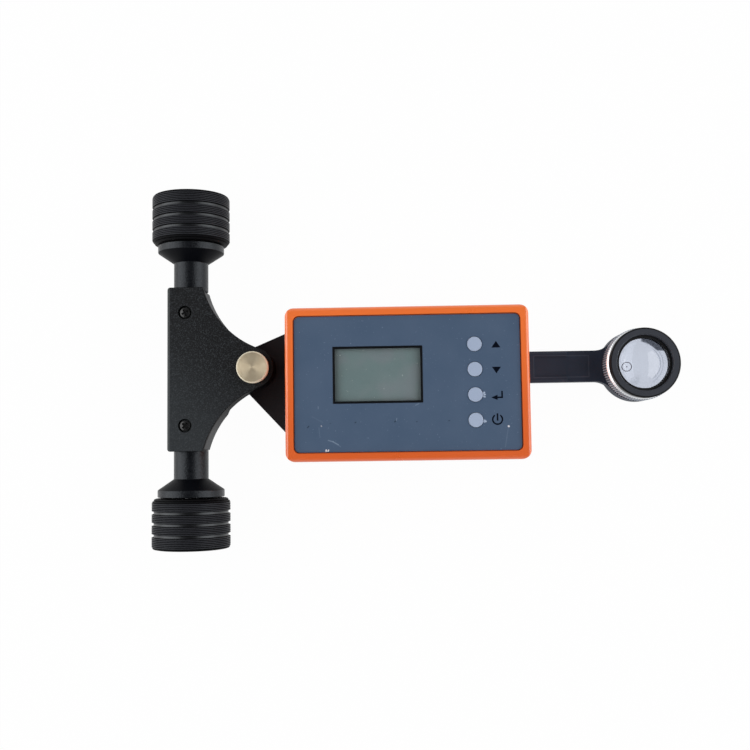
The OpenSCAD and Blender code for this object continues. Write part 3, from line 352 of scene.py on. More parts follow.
def bareMetal(name, light, dark, rough, scale):
    material, sheet = newFinish(name)
    streak = sheet.noise(sheet.place((0, 0, 0), scale), 1, 3)
    sheet.surface({
        "Base Color": sheet.mix(streak, dark, light),
        "Metallic": 1.0,
        "Roughness": rough + 0.2 * (streak - 0.5),
        "Normal": sheet.bump(streak, 0.004 * mm),
    })
    return material


def turnedBrass(centre, rim):  # fine rings left by the lathe stretch the sheen into sectors
    groove = {"pitch": 0.7 * mm, "depth": 0.004 * mm, "wander": 5}
    wornRun = (rim - 0.6 * mm, rim - 0.4 * mm)
    material, sheet = newFinish("turned_brass")
    place = sheet.place(centre)
    x, y = sheet.split(place)[:2]
    radius = x.reach(y)
    wander = sheet.noise(place, 900, 2)
    ring = (radius * (2 * math.pi / groove["pitch"]) + wander * groove["wander"]).sine()
    tarnish = sheet.noise(place, 420, 4, 0.6)
    worn = sheet.smooth(radius, *wornRun)
    colour = sheet.mix(tarnish, tone(230, 210, 174), tone(246, 232, 202))
    sheet.surface({
        "Base Color": sheet.mix(worn, colour, tone(226, 216, 192)),
        "Metallic": 0.8 - 0.75 * worn,
        "Roughness": 0.3 + 0.14 * tarnish,
        "Anisotropic": 0.7,
        "Anisotropic Rotation": 0.25,
        "Normal": sheet.bump(ring * groove["depth"], 1.0),
    })
    return material


def turnedSilver(centre, split, crest):  # satin knurl below with painted shade in its valleys, bright frosted band above
    brightRun = (split - 0.3 * mm, split)
    toothRun = (crest - 0.42 * mm, crest - 0.1 * mm)
    material, sheet = newFinish("ring_silver")
    place = sheet.place(centre)
    x, y, z = sheet.split(place)
    radius = x.reach(y)
    bright = sheet.smooth(z, *brightRun)
    tooth = sheet.smooth(radius, *toothRun)
    streak = sheet.noise(sheet.place(centre, (700, 700, 120)), 1, 3)
    # painted shade in the knurl valleys, lighter on the crests
    satin = sheet.mix(tooth, tone(16, 19, 24), tone(164, 176, 190))
    colour = sheet.mix(bright, satin, tone(244, 247, 250))
    sheet.surface({
        "Base Color": sheet.mix(streak * 0.15, colour, tone(190, 197, 206)),
        "Metallic": 0.95 * bright,
        "Roughness": 0.5 - 0.2 * bright + 0.12 * (streak - 0.5),
        "Specular IOR Level": 0.2,
        "Normal": sheet.bump(streak, 0.004 * mm),
    })
    return material


def sleeveCoat(coneStart, coneEnd):  # grainy satin neck and lip, dull cone between
    soft = 0.15 * mm
    material, sheet = newFinish("sleeve_anodised")
    place = sheet.place()
    y = sheet.split(place)[1]
    along = y.size()
    cone = sheet.smooth(along, coneStart - soft, coneStart + soft)
    cone = cone - sheet.smooth(along, coneEnd - soft, coneEnd + soft)
    grain = sheet.grain(place, 0.8 * mm, 3, 0.65)
    colour = sheet.mix(grain, tone(5, 6, 9), tone(12, 14, 19))
    satin = sheet.coat({
        "Base Color": colour,
        "Roughness": 0.34 + 0.5 * (grain - 0.5),
        "Specular IOR Level": 0.36,
        "Specular Tint": (0.86, 0.93, 1, 1),
        "Normal": sheet.bump(grain, 0.12 * mm),
    })
    dull = sheet.coat({
        "Base Color": colour,
        "Roughness": 0.4 + 0.1 * (grain - 0.5),
        "Specular IOR Level": 0.04,
    })
    sheet.blend(cone, satin, dull)
    return material


def bezelCoat(centre, rim):  # satin face with a black turned edge
    edgeRun = (rim - 0.85 * mm, rim - 0.6 * mm)
    material, sheet = newFinish("bezel_anodised")
    place = sheet.place(centre)
    x, y = sheet.split(place)[:2]
    radius = x.reach(y)
    grain = sheet.grain(place, 0.2 * mm)
    cloud = sheet.noise(place, 140, 3)
    edge = sheet.smooth(radius, *edgeRun)
    face = sheet.mix(cloud, tone(50, 53, 60), tone(60, 63, 70))
    sheet.surface({
        "Base Color": sheet.mix(edge, face, tone(9, 10, 13)),
        "Roughness": 0.42 + 0.16 * (grain - 0.5),
        "Specular IOR Level": 0.2,
        "Normal": sheet.bump(grain, 0.004 * mm),
    })
    return material


def drumCoat(centre, crest, reach):  # painted highlight on the ridge tops, dull valleys, smooth grooves between bands
    ridgeHighlightRun = (crest - 0.22 * mm, crest - 0.03 * mm)
    grooveRun = (crest - 0.8 * mm, crest - 0.6 * mm)
    bandsRun = (9 * mm, 9.3 * mm)
    material, sheet = newFinish("drum_anodised")
    place = sheet.place(centre)
    x, y, z = sheet.split(place)
    radius = x.reach(z)
    # painted highlight on the ridge tops
    ridgeHighlight = sheet.smooth(radius, *ridgeHighlightRun)
    groove = 1 - sheet.smooth(radius, *grooveRun)
    groove = groove * (1 - sheet.smooth((y.size() - reach).size(), *bandsRun))
    valley = (1 - groove) * (1 - ridgeHighlight)
    grain = sheet.grain(place, 0.3 * mm)
    twoShines(sheet, groove, (0.1, 0.6), {
        "Base Color": sheet.mix(ridgeHighlight * (0.5 + grain), tone(4, 4, 6), tone(46, 47, 51)),
        "Roughness": 0.36 + 0.25 * valley + 0.16 * (grain - 0.5),
        "Specular Tint": (0.9, 0.95, 1, 1),
        "Normal": sheet.bump(grain, 0.008 * mm),
    })
    return material


def strokeMask(sheet, x, y, start, end, width):  # soft line from start to end on a flat face
    dx = end[0] - start[0]
    dy = end[1] - start[1]
    along = ((x - start[0]) * dx + (y - start[1]) * dy) / (dx * dx + dy * dy)
    along = along.within(0, 1)
    gap = (x - start[0] - along * dx).reach(y - start[1] - along * dy)
    return 1 - sheet.smooth(gap, width * 0.25, width * 0.75)


def panelPaint(centre):  # marks are placed from the middle of the panel
    scuffs = [  # start, end, width in millimetres, strength
        ((-34.34, -24.31), (-32.34, -24.91), 0.5, 0.4),
        ((-32.34, -24.91), (-30.14, -26.21), 0.55, 0.45),
        ((-30.14, -26.21), (-29.14, -27.11), 0.4, 0.2),
        ((43.16, -19.41), (41.66, -28.01), 0.5, 0.12),
        ((-38.34, -18.91), (-37.94, -23.01), 0.5, 0.1),
        ((-41.24, -14.01), (-36.74, -16.51), 0.45, 0.08),
        ((3.5, -9.7), (4.9, -9.0), 0.4, 0.35),
        ((-38.6, -9.7), (-38.6, -10.6), 0.4, 0.3),
        ((-4.7, -15.2), (-4.9, -16.2), 0.4, 0.35),
    ]
    flakes = [
        ((-35.29, -28.41), (-35.34, -28.96), 0.55, 0.95),
        ((-34.29, -28.46), (-34.54, -28.96), 0.5, 0.95),
        ((43.21, -19.26), (43.31, -19.36), 0.75, 0.9),
        ((-37.34, -18.01), (-37.24, -18.21), 0.5, 0.35),
    ]
    chips = [
        ((32.2, -5.2), (33.1, -4.7), 0.8, 1),
        ((32.2, -5.6), (33.5, -5.5), 0.6, 1),
        ((32.2, -6), (33.3, -6.5), 0.7, 1),
        ((32.2, -16.8), (33, -17), 1.2, 1),
        ((32.2, -17), (33.6, -17.1), 0.6, 1),
    ]
    nicks = [
        ((-43.3, -18.7), (-42.7, -18.1), 0.5, 0.8),
        ((-22.7, -16.8), (-22.4, -16.7), 0.6, 0.7),
        ((-5.6, -16.7), (-5.3, -16.4), 0.6, 0.8),
        ((3.8, -16.8), (4.0, -16.7), 0.5, 0.6),
        ((17.6, -16.6), (18.0, -16.5), 0.5, 0.6),
        ((-33.5, -17.0), (-33.3, -17.0), 0.4, 0.5),
    ]
    material, sheet = newFinish("panel_paint")
    place = sheet.place(centre, (1 / mm, 1 / mm, 1 / mm))
    x, y = sheet.split(place)[:2]
    cloud = sheet.noise(place, 0.06, 3)
    speck = sheet.smooth(sheet.noise(place, 1.3, 2), 0.68, 0.76)
    grain = sheet.noise(place, 6, 2)
    colour = sheet.mix(cloud, tone(66, 86, 111), tone(79, 97, 121))
    colour = sheet.mix(speck * 0.45, colour, tone(128, 146, 168))
    for marks, paint in ((scuffs, tone(140, 158, 178)), (flakes, tone(236, 232, 236)),
                         (chips, tone(170, 184, 206)), (nicks, tone(38, 52, 66))):
        for start, end, width, strength in marks:
            mask = strokeMask(sheet, x, y, start, end, width)
            colour = sheet.mix(mask * strength, colour, paint)
    sheet.surface({
        "Base Color": colour,
        "Roughness": 0.5 + 0.12 * (cloud - 0.5),
        "Specular IOR Level": 0.3,
        "Normal": sheet.bump(grain, 0.004 * mm),
    })
    return material


def displayFilm(centre):  # painted shade darkens the film a little towards its frame
    aspect = 1.55
    edgeRun = (14, 19)
    material, sheet = newFinish("display_film")
    place = sheet.place(centre, (1 / mm, 1 / mm, 1 / mm))
    x, y = sheet.split(place)[:2]
    green = sheet.noise(place, 0.07, 2)
    rose = sheet.smooth(sheet.noise(place, 0.1, 1), 0.45, 0.75)
    # painted shade towards the frame
    edge = sheet.smooth(x.size().most(y.size() * aspect), *edgeRun)
    dust = sheet.smooth(sheet.noise(place, 1.1, 1), 0.76, 0.81)
    colour = sheet.mix(green, tone(84, 109, 110), tone(100, 119, 118))
    colour = sheet.mix(rose * 0.5, colour, tone(112, 117, 124))
    colour = sheet.mix(edge * 0.45, colour, tone(82, 90, 88))
    colour = sheet.mix(dust * 0.6, colour, tone(190, 200, 196))
    sheet.surface({"Base Color": colour, "Roughness": 0.45 + 0.1 * green, "Specular IOR Level": 0.25})
    return material


def clearGlass(centre):  # painted reflections of the dark tube at one side of the lens and of faint rings, and a painted shade patch
    tubeReflectionSpot = (-3, -1.5)
    shadePatchSpot = (-3.4, -7.6)
    tubeReflectionRuns = ((11, 11.9), (5.2, 6), (-0.6, 0.6))
    shadePatchRun = (0.6, 2.8)
    arcReflectionsRun = (3.5, 5.5)
    rings = ((7.6, 0.3), (8.9, 0.25))  # radius and softness
    material, sheet = newFinish("lens_glass")
    place = sheet.place(centre, (1 / mm, 1 / mm, 1 / mm))
    x, y = sheet.split(place)[:2]
    smear = sheet.noise(place, 0.22, 2)
    radius = x.reach(y)
    inset = (x - tubeReflectionSpot[0]).reach(y - tubeReflectionSpot[1]) + (smear - 0.5)
    # painted reflection of the dark tube wall
    tubeReflection = 1
    for value, run in zip((inset, y, x), tubeReflectionRuns):
        tubeReflection = tubeReflection * sheet.smooth(value, *run)
    # painted reflections of faint rings
    arcReflections = 0
    for size, soft in rings:
        arcReflections = arcReflections + (1 - sheet.smooth((radius - size).size(), 0.05, soft))
    arcReflections = arcReflections * sheet.smooth(x, *arcReflectionsRun)
    # painted shade patch
    shadePatch = 1 - sheet.smooth((x - shadePatchSpot[0]).reach(y - shadePatchSpot[1]), *shadePatchRun)
    colour = sheet.mix(arcReflections * 0.5, tone(224, 231, 246), tone(138, 148, 170))
    colour = sheet.mix(shadePatch * 0.3, colour, tone(150, 158, 172))
    colour = sheet.mix(tubeReflection * 0.9, colour, tone(58, 64, 78))
    sheet.surface({
        "Base Color": colour,
        "Roughness": 0.02 * smear,
        "Transmission Weight": 1.0,
        "IOR": 1.5,
    })
    return material


def thinGlass(name, tint, cover):  # flat panes let light straight through
    material, sheet = newFinish(name)
    smear = sheet.noise(sheet.place(), 150, 3)
    sheet.surface({
        "Base Color": tint,
        "Roughness": 0.08 + 0.05 * smear,
        "Alpha": cover + cover * (smear - 0.5),
    })
    return material


def printedInk(name, dark, light):
    material, sheet = newFinish(name)
    fade = sheet.noise(sheet.place(), 1800, 2)
    sheet.surface({
        "Base Color": sheet.mix(fade, dark, light),
        "Roughness": 0.5,
        "Specular IOR Level": 0.06,
    })
    return material


finishEnds = {  # where a finish changes, as a radius, a height or a distance along the piece
    "drumCrest": 17.5 * mm, "bezelRim": 15.7 * mm, "knobRim": 7 * mm, "ringSplit": 2.6 * mm,
    "ringCrest": 16.4 * mm, "coneStart": 8 * mm, "coneEnd": 3.1 * mm, "coverShade": 1 * mm,
}
armField = {
    "fromCase": 18 * mm, "length": 25 * mm, "width": 9.6 * mm, "highlightAt": 0.1 * mm,
    "highlightRun": (0.1 * mm, 0.4 * mm),
}
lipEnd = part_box("left_sleeve")[1].y

orangeShell = shellPlastic(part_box("upper_case")[0].y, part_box("upper_case")[1].y)
blackBase = mouldedPlastic("black_base", tone(34, 36, 39), tone(25, 27, 29), rough=0.5, shine=0.3,
                           grainSize=0.5 * mm, grainDepth=0.02 * mm)
blackFrame = mouldedPlastic("display_frame", tone(8, 11, 16), tone(4, 6, 9), rough=0.4, shine=0.2,
                            grainSize=0.3 * mm, grainDepth=0.002 * mm)
keyRubber = mouldedPlastic("key_rubber", tone(170, 184, 207), tone(158, 172, 197), rough=0.5, shine=0.4,
                           grainSize=0.25 * mm, grainDepth=0.006 * mm)
boardGreen = mouldedPlastic("board_mask", tone(40, 110, 66), tone(24, 84, 48), rough=0.35, shine=0.5,
                            grainSize=0.8 * mm, grainDepth=0.01 * mm)
cellWrap = mouldedPlastic("cell_wrap", tone(196, 146, 60), tone(170, 116, 40), rough=0.3, shine=0.5,
                          grainSize=2 * mm, grainDepth=0.004 * mm)
discFilm = mouldedPlastic("disc_film", tone(70, 84, 92), tone(50, 62, 70), rough=0.2, shine=0.5,
                          grainSize=1 * mm, grainDepth=0.002 * mm)
coverPaint = coverCoat(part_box("carriage_cover")[0].x, middle("pivot_knob").x + finishEnds["coverShade"])
framePaint = frameCoat()
armPaint = armCoat(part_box("upper_case")[1].x, armField)
bracketPaint = bracketCoat()
sleeveBlack = sleeveCoat(lipEnd - finishEnds["coneStart"], lipEnd - finishEnds["coneEnd"])
drumBlack = drumCoat(middle("roller_shaft"), finishEnds["drumCrest"], middle("left_roller").y)
bezelBlack = bezelCoat(middle("lens_cell"), finishEnds["bezelRim"])
tubeBlack = anodised("tube_anodised", tone(20, 21, 24), tone(12, 13, 15), rough=0.5, shine=0.3,
                     grainSize=0.2 * mm, grainDepth=0.004 * mm)
screwBlack = anodised("screw_blackened", tone(14, 14, 16), tone(7, 7, 8), rough=0.28, shine=0.6,
                      grainSize=0.3 * mm, grainDepth=0.004 * mm)
plainSteel = bareMetal("machined_steel", tone(205, 207, 211), tone(178, 181, 186), rough=0.32,
                       scale=(300, 300, 900))
yokeMetal = bareMetal("yoke_metal", tone(170, 173, 178), tone(140, 143, 148), rough=0.42,
                      scale=(200, 900, 200))
contactPlate = bareMetal("contact_plate", tone(222, 223, 226), tone(196, 198, 201), rough=0.22,
                         scale=(400, 400, 400))
knobBrass = turnedBrass(middle("pivot_knob"), finishEnds["knobRim"])
ringSilver = turnedSilver(middle("focus_ring"), finishEnds["ringSplit"], finishEnds["ringCrest"])
panelBlue = panelPaint(middle("display_panel"))
displayGrey = displayFilm(middle("lcd_module"))
lensGlass = clearGlass(middle("magnifier_lens"))
paneGlass = thinGlass("display_pane", tone(210, 220, 224), cover=0.05)
discGlass = thinGlass("marked_glass", tone(222, 228, 236), cover=0.12)
iconInk = printedInk("icon_ink", tone(2, 7, 18), tone(5, 12, 28))
markInk = printedInk("mark_ink", tone(112, 62, 104), tone(142, 88, 128))
print("finishes made")

finishes = {
    orangeShell: ["upper_case"],
    blackBase: ["base_chassis", "battery_box", "battery_cover", "encoder_sensor", "key_switches",
                "processor_chip"],
    blackFrame: ["display_bezel"],
    keyRubber: ["button_up", "button_down", "button_enter", "button_power"],
    coverPaint: ["carriage_cover"],
    framePaint: ["carriage_frame"],
    armPaint: ["tracer_arm"],
    bracketPaint: ["swivel_bracket"],
    sleeveBlack: ["left_sleeve", "right_sleeve"],
    drumBlack: ["left_roller", "right_roller"],
    bezelBlack: ["lens_cell"],
    tubeBlack: ["lens_retainer"],
    screwBlack: ["cover_screws"],
    ringSilver: ["focus_ring"],
    plainSteel: ["case_screws", "board_screws", "battery_box_screws", "battery_cover_screw",
                 "yoke_screws", "bracket_screws", "arm_screws", "pivot_pin", "roller_shaft",
                 "roller_washers", "roller_screws", "thrust_washer", "measuring_wheel", "wheel_axle",
                 "wheel_bearings", "axle_bearings"],
    yokeMetal: ["wheel_yoke"],
    contactPlate: ["battery_contacts"],
    boardGreen: ["main_board"],
    cellWrap: ["battery_cells"],
    discFilm: ["encoder_disc"],
    knobBrass: ["pivot_knob", "pivot_bush"],
    panelBlue: ["display_panel"],
    displayGrey: ["lcd_module"],
    lensGlass: ["magnifier_lens"],
    paneGlass: ["display_window"],
    discGlass: ["reticle_disc"],
}
for material, names in finishes.items():
    for name in names:
        nodes[name].data.materials.clear()
        nodes[name].data.materials.append(material)

edges = {  # worn or moulded edge radius of each solid that stays, in millimetres
    "display_panel": 0.12, "display_bezel": 0.12, "base_chassis": 0.5,
    "carriage_cover": 0.55, "carriage_frame": 0.4, "left_sleeve": 0.25, "right_sleeve": 0.25,
    "swivel_bracket": 0.4, "tracer_arm": 0.18, "lens_cell": 0.12, "lens_retainer": 0.1,
    "button_up": 0.22, "button_down": 0.22, "button_enter": 0.22, "button_power": 0.22,
    "battery_cover": 0.2, "measuring_wheel": 0.1, "roller_washers": 0.12,
}
edgeRules = {
    "weld": 0.002 * mm, "double": 0.001 * mm, "flat": math.radians(0.5), "sharp": math.radians(32),
    "segments": 3,
}


def mergeFlats(piece):  # loose triangles become whole faces
    weld = piece.modifiers.new("weld", "WELD")
    weld.merge_threshold = edgeRules["weld"]
    flatten = piece.modifiers.new("flatten", "DECIMATE")
    flatten.decimate_type = "DISSOLVE"
    flatten.angle_limit = edgeRules["flat"]


def soften(name, width):
    piece = nodes[name]
    mergeFlats(piece)
    edge = piece.modifiers.new("edge", "BEVEL")
    edge.width = width
    edge.segments = edgeRules["segments"]
    edge.limit_method = "ANGLE"
    edge.angle_limit = edgeRules["sharp"]
    shade = piece.modifiers.new("shade", "WEIGHTED_NORMAL")
    shade.keep_sharp = False


def smoothShell(name):  # the moulded rounding is in the solid, so only the shading is evened out
    piece = nodes[name]
    mergeFlats(piece)
    crease = piece.modifiers.new("crease", "EDGE_SPLIT")
    crease.split_angle = edgeRules["sharp"]
    shade = piece.modifiers.new("shade", "WEIGHTED_NORMAL")
    shade.weight = 100


for name, width in edges.items():
    soften(name, width * mm)
smoothShell("upper_case")
print("solids dressed")


def newPiece(name, mesh):
    piece = bpy.data.objects.new(name, mesh)
    scene.collection.objects.link(piece)
    return piece


def finishMesh(form, name):  # closed, outward, with hard edges where faces turn
    bmesh.ops.remove_doubles(form, verts=form.verts, dist=edgeRules["double"])
    bmesh.ops.recalc_face_normals(form, faces=form.faces)
    for face in form.faces:
        face.smooth = True
    for edge in form.edges:
        edge.smooth = edge.calc_face_angle(0) < edgeRules["sharp"]
    mesh = bpy.data.meshes.new(name)
    form.to_mesh(mesh)
    form.free()
    return mesh


def settle(piece):  # a node-made piece becomes a plain mesh
    result = piece.evaluated_get(bpy.context.evaluated_depsgraph_get())
    mesh = bpy.data.meshes.new_from_object(result)
    piece.modifiers.clear()
    form = bmesh.new()
    form.from_mesh(mesh)
    materials = list(mesh.materials)
    piece.data = finishMesh(form, piece.name)
    for material in materials:
        piece.data.materials.append(material)
    return piece


class Recipe:  # a shape tree with named inputs
    def __init__(self, name, inputs):
        self.tree = bpy.data.node_groups.new(name, "GeometryNodeTree")
        self.sheet = Sheet(self.tree)
        face = self.tree.interface
        face.new_socket("Geometry", in_out="OUTPUT", socket_type="NodeSocketGeometry")
        face.new_socket("Geometry", in_out="INPUT", socket_type="NodeSocketGeometry")
        kinds = {int: "NodeSocketInt", float: "NodeSocketFloat"}
        self.ids = {}
        for key, value in inputs.items():
            kind = kinds.get(type(value), "NodeSocketMaterial")
            self.ids[key] = face.new_socket(key, in_out="INPUT", socket_type=kind).identifier
        source = self.tree.nodes.new("NodeGroupInput")
        self.wires = {socket.name: Wire(self.sheet, socket) for socket in source.outputs if socket.name}

    def place(self, rows):  # column and row of each point of a grid
        index = self.sheet.add("GeometryNodeInputIndex")
        return (index / rows + 0.0001).floor(), index % rows

    def weld(self, parts):
        shape = self.sheet.add("GeometryNodeJoinGeometry", None, {0: parts})
        joint = {"Geometry": shape, "Distance": edgeRules["weld"]}
        return self.sheet.add("GeometryNodeMergeByDistance", None, joint)

    def close(self, shape, material):
        shape = self.sheet.add("GeometryNodeRealizeInstances", None, {0: shape})
        dressed = {"Geometry": shape, "Material": material}
        shape = self.sheet.add("GeometryNodeSetMaterial", None, dressed)
        self.sheet.add("NodeGroupOutput", None, {0: shape})

    def use(self, piece, values):
        modifier = piece.modifiers.new(self.tree.name, "NODES")
        modifier.node_group = self.tree
        for key, value in values.items():
            modifier[self.ids[key]] = value
        return settle(piece)


def turned(form, profile, steps, place, axis):  # outline of radius and height, spun round an axis
    rings = []
    for radius, along in profile:
        ring = []
        for step in range(steps):
            turn = 2 * math.pi * step / steps
            spot = Vector((radius * math.cos(turn), along, radius * math.sin(turn)))
            if axis == "Z":
                spot = Vector((radius * math.cos(turn), radius * math.sin(turn), along))
            ring.append(form.verts.new(place + spot))
        rings.append(ring)
    for first, second in zip(rings, rings[1:]):
        for step in range(steps):
            after = (step + 1) % steps
            form.faces.new((first[step], first[after], second[after], second[step]))


# Ridged drums
drum = {
    "Radius": 17.5 * mm, "Width": 22.5 * mm, "End Edge": 1.8 * mm, "Ridge Depth": 0.4 * mm,
    "Groove Depth": 0.9 * mm, "Bands": 4, "Band Ridges": 5, "Groove Steps": 7, "Steps Around": 144,
    "Edge Steps": 8, "Finish": drumBlack,
}
ridgeSteps = 4  # rows of faces across one ridge
drumEnds = {"bore": 3.02 * mm, "recess": 10 * mm, "recessDepth": 7 * mm, "lead": 0.6 * mm}


def drumRecipe(values):
    recipe = Recipe("ridged_drum", values)
    sheet = recipe.sheet
    wires = recipe.wires
    radius = wires["Radius"]
    edgeSteps = wires["Edge Steps"]
    ridgeRows = wires["Band Ridges"] * ridgeSteps
    bandSteps = ridgeRows + wires["Groove Steps"]
    runSteps = bandSteps * wires["Bands"] - wires["Groove Steps"]
    rows = runSteps + edgeSteps * 2 + 1
    around = wires["Steps Around"] + 1
    skin = sheet.add("GeometryNodeMeshGrid", None, {"Vertices X": around, "Vertices Y": rows})
    column, row = recipe.place(rows)
    turn = column * (2 * math.pi) / wires["Steps Around"]
    run = (row - edgeSteps).within(0, runSteps)
    inner = ((edgeSteps - row) / edgeSteps).most(0)
    outer = ((row - edgeSteps - runSteps) / edgeSteps).most(0)
    step = (wires["Width"] - wires["End Edge"] * 2) / runSteps
    along = run * step + (1 - inner + outer) * wires["End Edge"]
    phase = run % bandSteps
    inBand = phase < ridgeRows + 0.5
    inValley = ((phase + row - edgeSteps - run) % ridgeSteps) < 0.5
    sunk = inBand * inValley * wires["Ridge Depth"] + (1 - inBand) * wires["Groove Depth"]
    roundOff = 1 - (1 - outer * outer).most(0).root()
    spread = radius - sunk - (wires["End Edge"] - wires["Ridge Depth"]) * (inner + roundOff)
    spot = sheet.join(spread * turn.cosine(), along - wires["Width"] / 2, spread * turn.sine())
    skin = sheet.add("GeometryNodeSetPosition", None, {"Geometry": skin, "Position": spot})
    sides = []
    for name in ("left_roller", "right_roller"):
        spin = (0, 0, 0 if name == "left_roller" else math.pi)
        shift = {"Geometry": skin, "Translation": tuple(middle(name)), "Rotation": spin}
        sides.append(sheet.add("GeometryNodeTransform", None, shift))
    recipe.close(recipe.weld([wires["Geometry"]] + sides), wires["Finish"])
    return recipe


def makeDrums():
    form = bmesh.new()
    half = drum["Width"] / 2
    rim = drum["Radius"] - drum["End Edge"]
    lead = drumEnds["lead"]
    floor = half - drumEnds["recessDepth"]
    for name, side in (("left_roller", 1), ("right_roller", -1)):
        inside = [(drumEnds["bore"], -half), (rim, -half)]
        outside = [(rim, half), (drumEnds["recess"] + lead, half), (drumEnds["recess"], half - lead),
                   (drumEnds["recess"], floor), (drumEnds["bore"], floor)]
        bore = [(drumEnds["bore"], floor), (drumEnds["bore"], -half)]
        for part in (inside, outside, bore):
            turned(form, [(r, side * a) for r, a in part], drum["Steps Around"], middle(name), "Y")
    piece = newPiece("ridged_drums", finishMesh(form, "ridged_drums"))
    drumRecipe(drum).use(piece, drum)
    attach(piece, "rollers")
    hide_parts("left_roller", "right_roller")


makeDrums()
print("drums made")

# Knurled focus ring
knurl = {
    "Radius": 16.4 * mm, "Height": 8.1 * mm, "Teeth": 92, "Tooth Depth": 0.45 * mm, "Lead": 0.35 * mm,
    "Finish": ringSilver,
}
toothSteps = 4  # columns of faces across one tooth
ringBand = {
    "radius": 14.75 * mm, "bore": 14.35 * mm, "cone": 0.7 * mm, "height": 11 * mm, "lead": 0.2 * mm,
}


def knurlRecipe(values):
    recipe = Recipe("knurl_band", values)
    sheet = recipe.sheet
    wires = recipe.wires
    lead = wires["Lead"]
    rows = 4
    around = wires["Teeth"] * toothSteps
    skin = sheet.add("GeometryNodeMeshGrid", None, {"Vertices X": around + 1, "Vertices Y": rows})
    column, row = recipe.place(rows)
    turn = column * (2 * math.pi) / around
    valley = 1 - ((column % toothSteps) / (toothSteps / 2) - 1).size()
    along = row.within(0, 1) * lead + (row - 1).within(0, 1) * (wires["Height"] - lead * 2)
    along = along + (row - 2).within(0, 1) * lead
    ends = (row < 0.5) + (row > 2.5)
    spread = wires["Radius"] - (1 - ends) * valley * wires["Tooth Depth"] - ends * wires["Tooth Depth"]
    spot = sheet.join(spread * turn.cosine(), spread * turn.sine(), along)
    skin = sheet.add("GeometryNodeSetPosition", None, {"Geometry": skin, "Position": spot})
    shift = {"Geometry": skin, "Translation": tuple(foot("focus_ring"))}
    skin = sheet.add("GeometryNodeTransform", None, shift)
    recipe.close(recipe.weld([wires["Geometry"], skin]), wires["Finish"])
    return recipe


def makeFocusRing():
    form = bmesh.new()
    root = knurl["Radius"] - knurl["Tooth Depth"]
    band = ringBand["radius"]
    top = ringBand["height"]
    lead = ringBand["lead"]
    profile = [(root, knurl["Height"]), (band, knurl["Height"] + ringBand["cone"]), (band, top - lead),
               (band - lead, top), (ringBand["bore"], top), (ringBand["bore"], 0), (root, 0)]
    turned(form, profile, knurl["Teeth"] * toothSteps, foot("focus_ring"), "Z")
    piece = newPiece("knurled_focus_ring", finishMesh(form, "knurled_focus_ring"))
    knurlRecipe(knurl).use(piece, knurl)
    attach(piece, "focus")
    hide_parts("focus_ring")


makeFocusRing()
print("focus ring made")

# Cross-head screws
largeScrew = {
    "Head": 4.9 * mm, "Head Height": 1.5 * mm, "Dome": 0.45 * mm, "Cross Width": 0.9 * mm,
    "Cross Length": 3.2 * mm, "Cross Depth": 1.2 * mm, "Shank": 3.0 * mm, "Shank Length": 3.0 * mm,
    "Finish": screwBlack,
}
doorScrew = {
    "Head": 3.8 * mm, "Head Height": 1.2 * mm, "Dome": 0.35 * mm, "Cross Width": 0.6 * mm,
    "Cross Length": 2.3 * mm, "Cross Depth": 0.7 * mm, "Shank": 2.0 * mm, "Shank Length": 3 * mm,
    "Finish": plainSteel,
}
coverScrew = {"Head": 4.4 * mm}
caseScrew = {"Finish": plainSteel, "Shank Length": 6 * mm}
rollerScrew = {"Finish": plainSteel}
screwSteps = {"around": 36, "side": 3, "rings": 6, "shank": 24}
screwTwist = {"back": 28, "front": 47, "case": 20, "caseSpread": 900, "roller": 30, "door": 12}
shankOverlap = 0.02 * mm


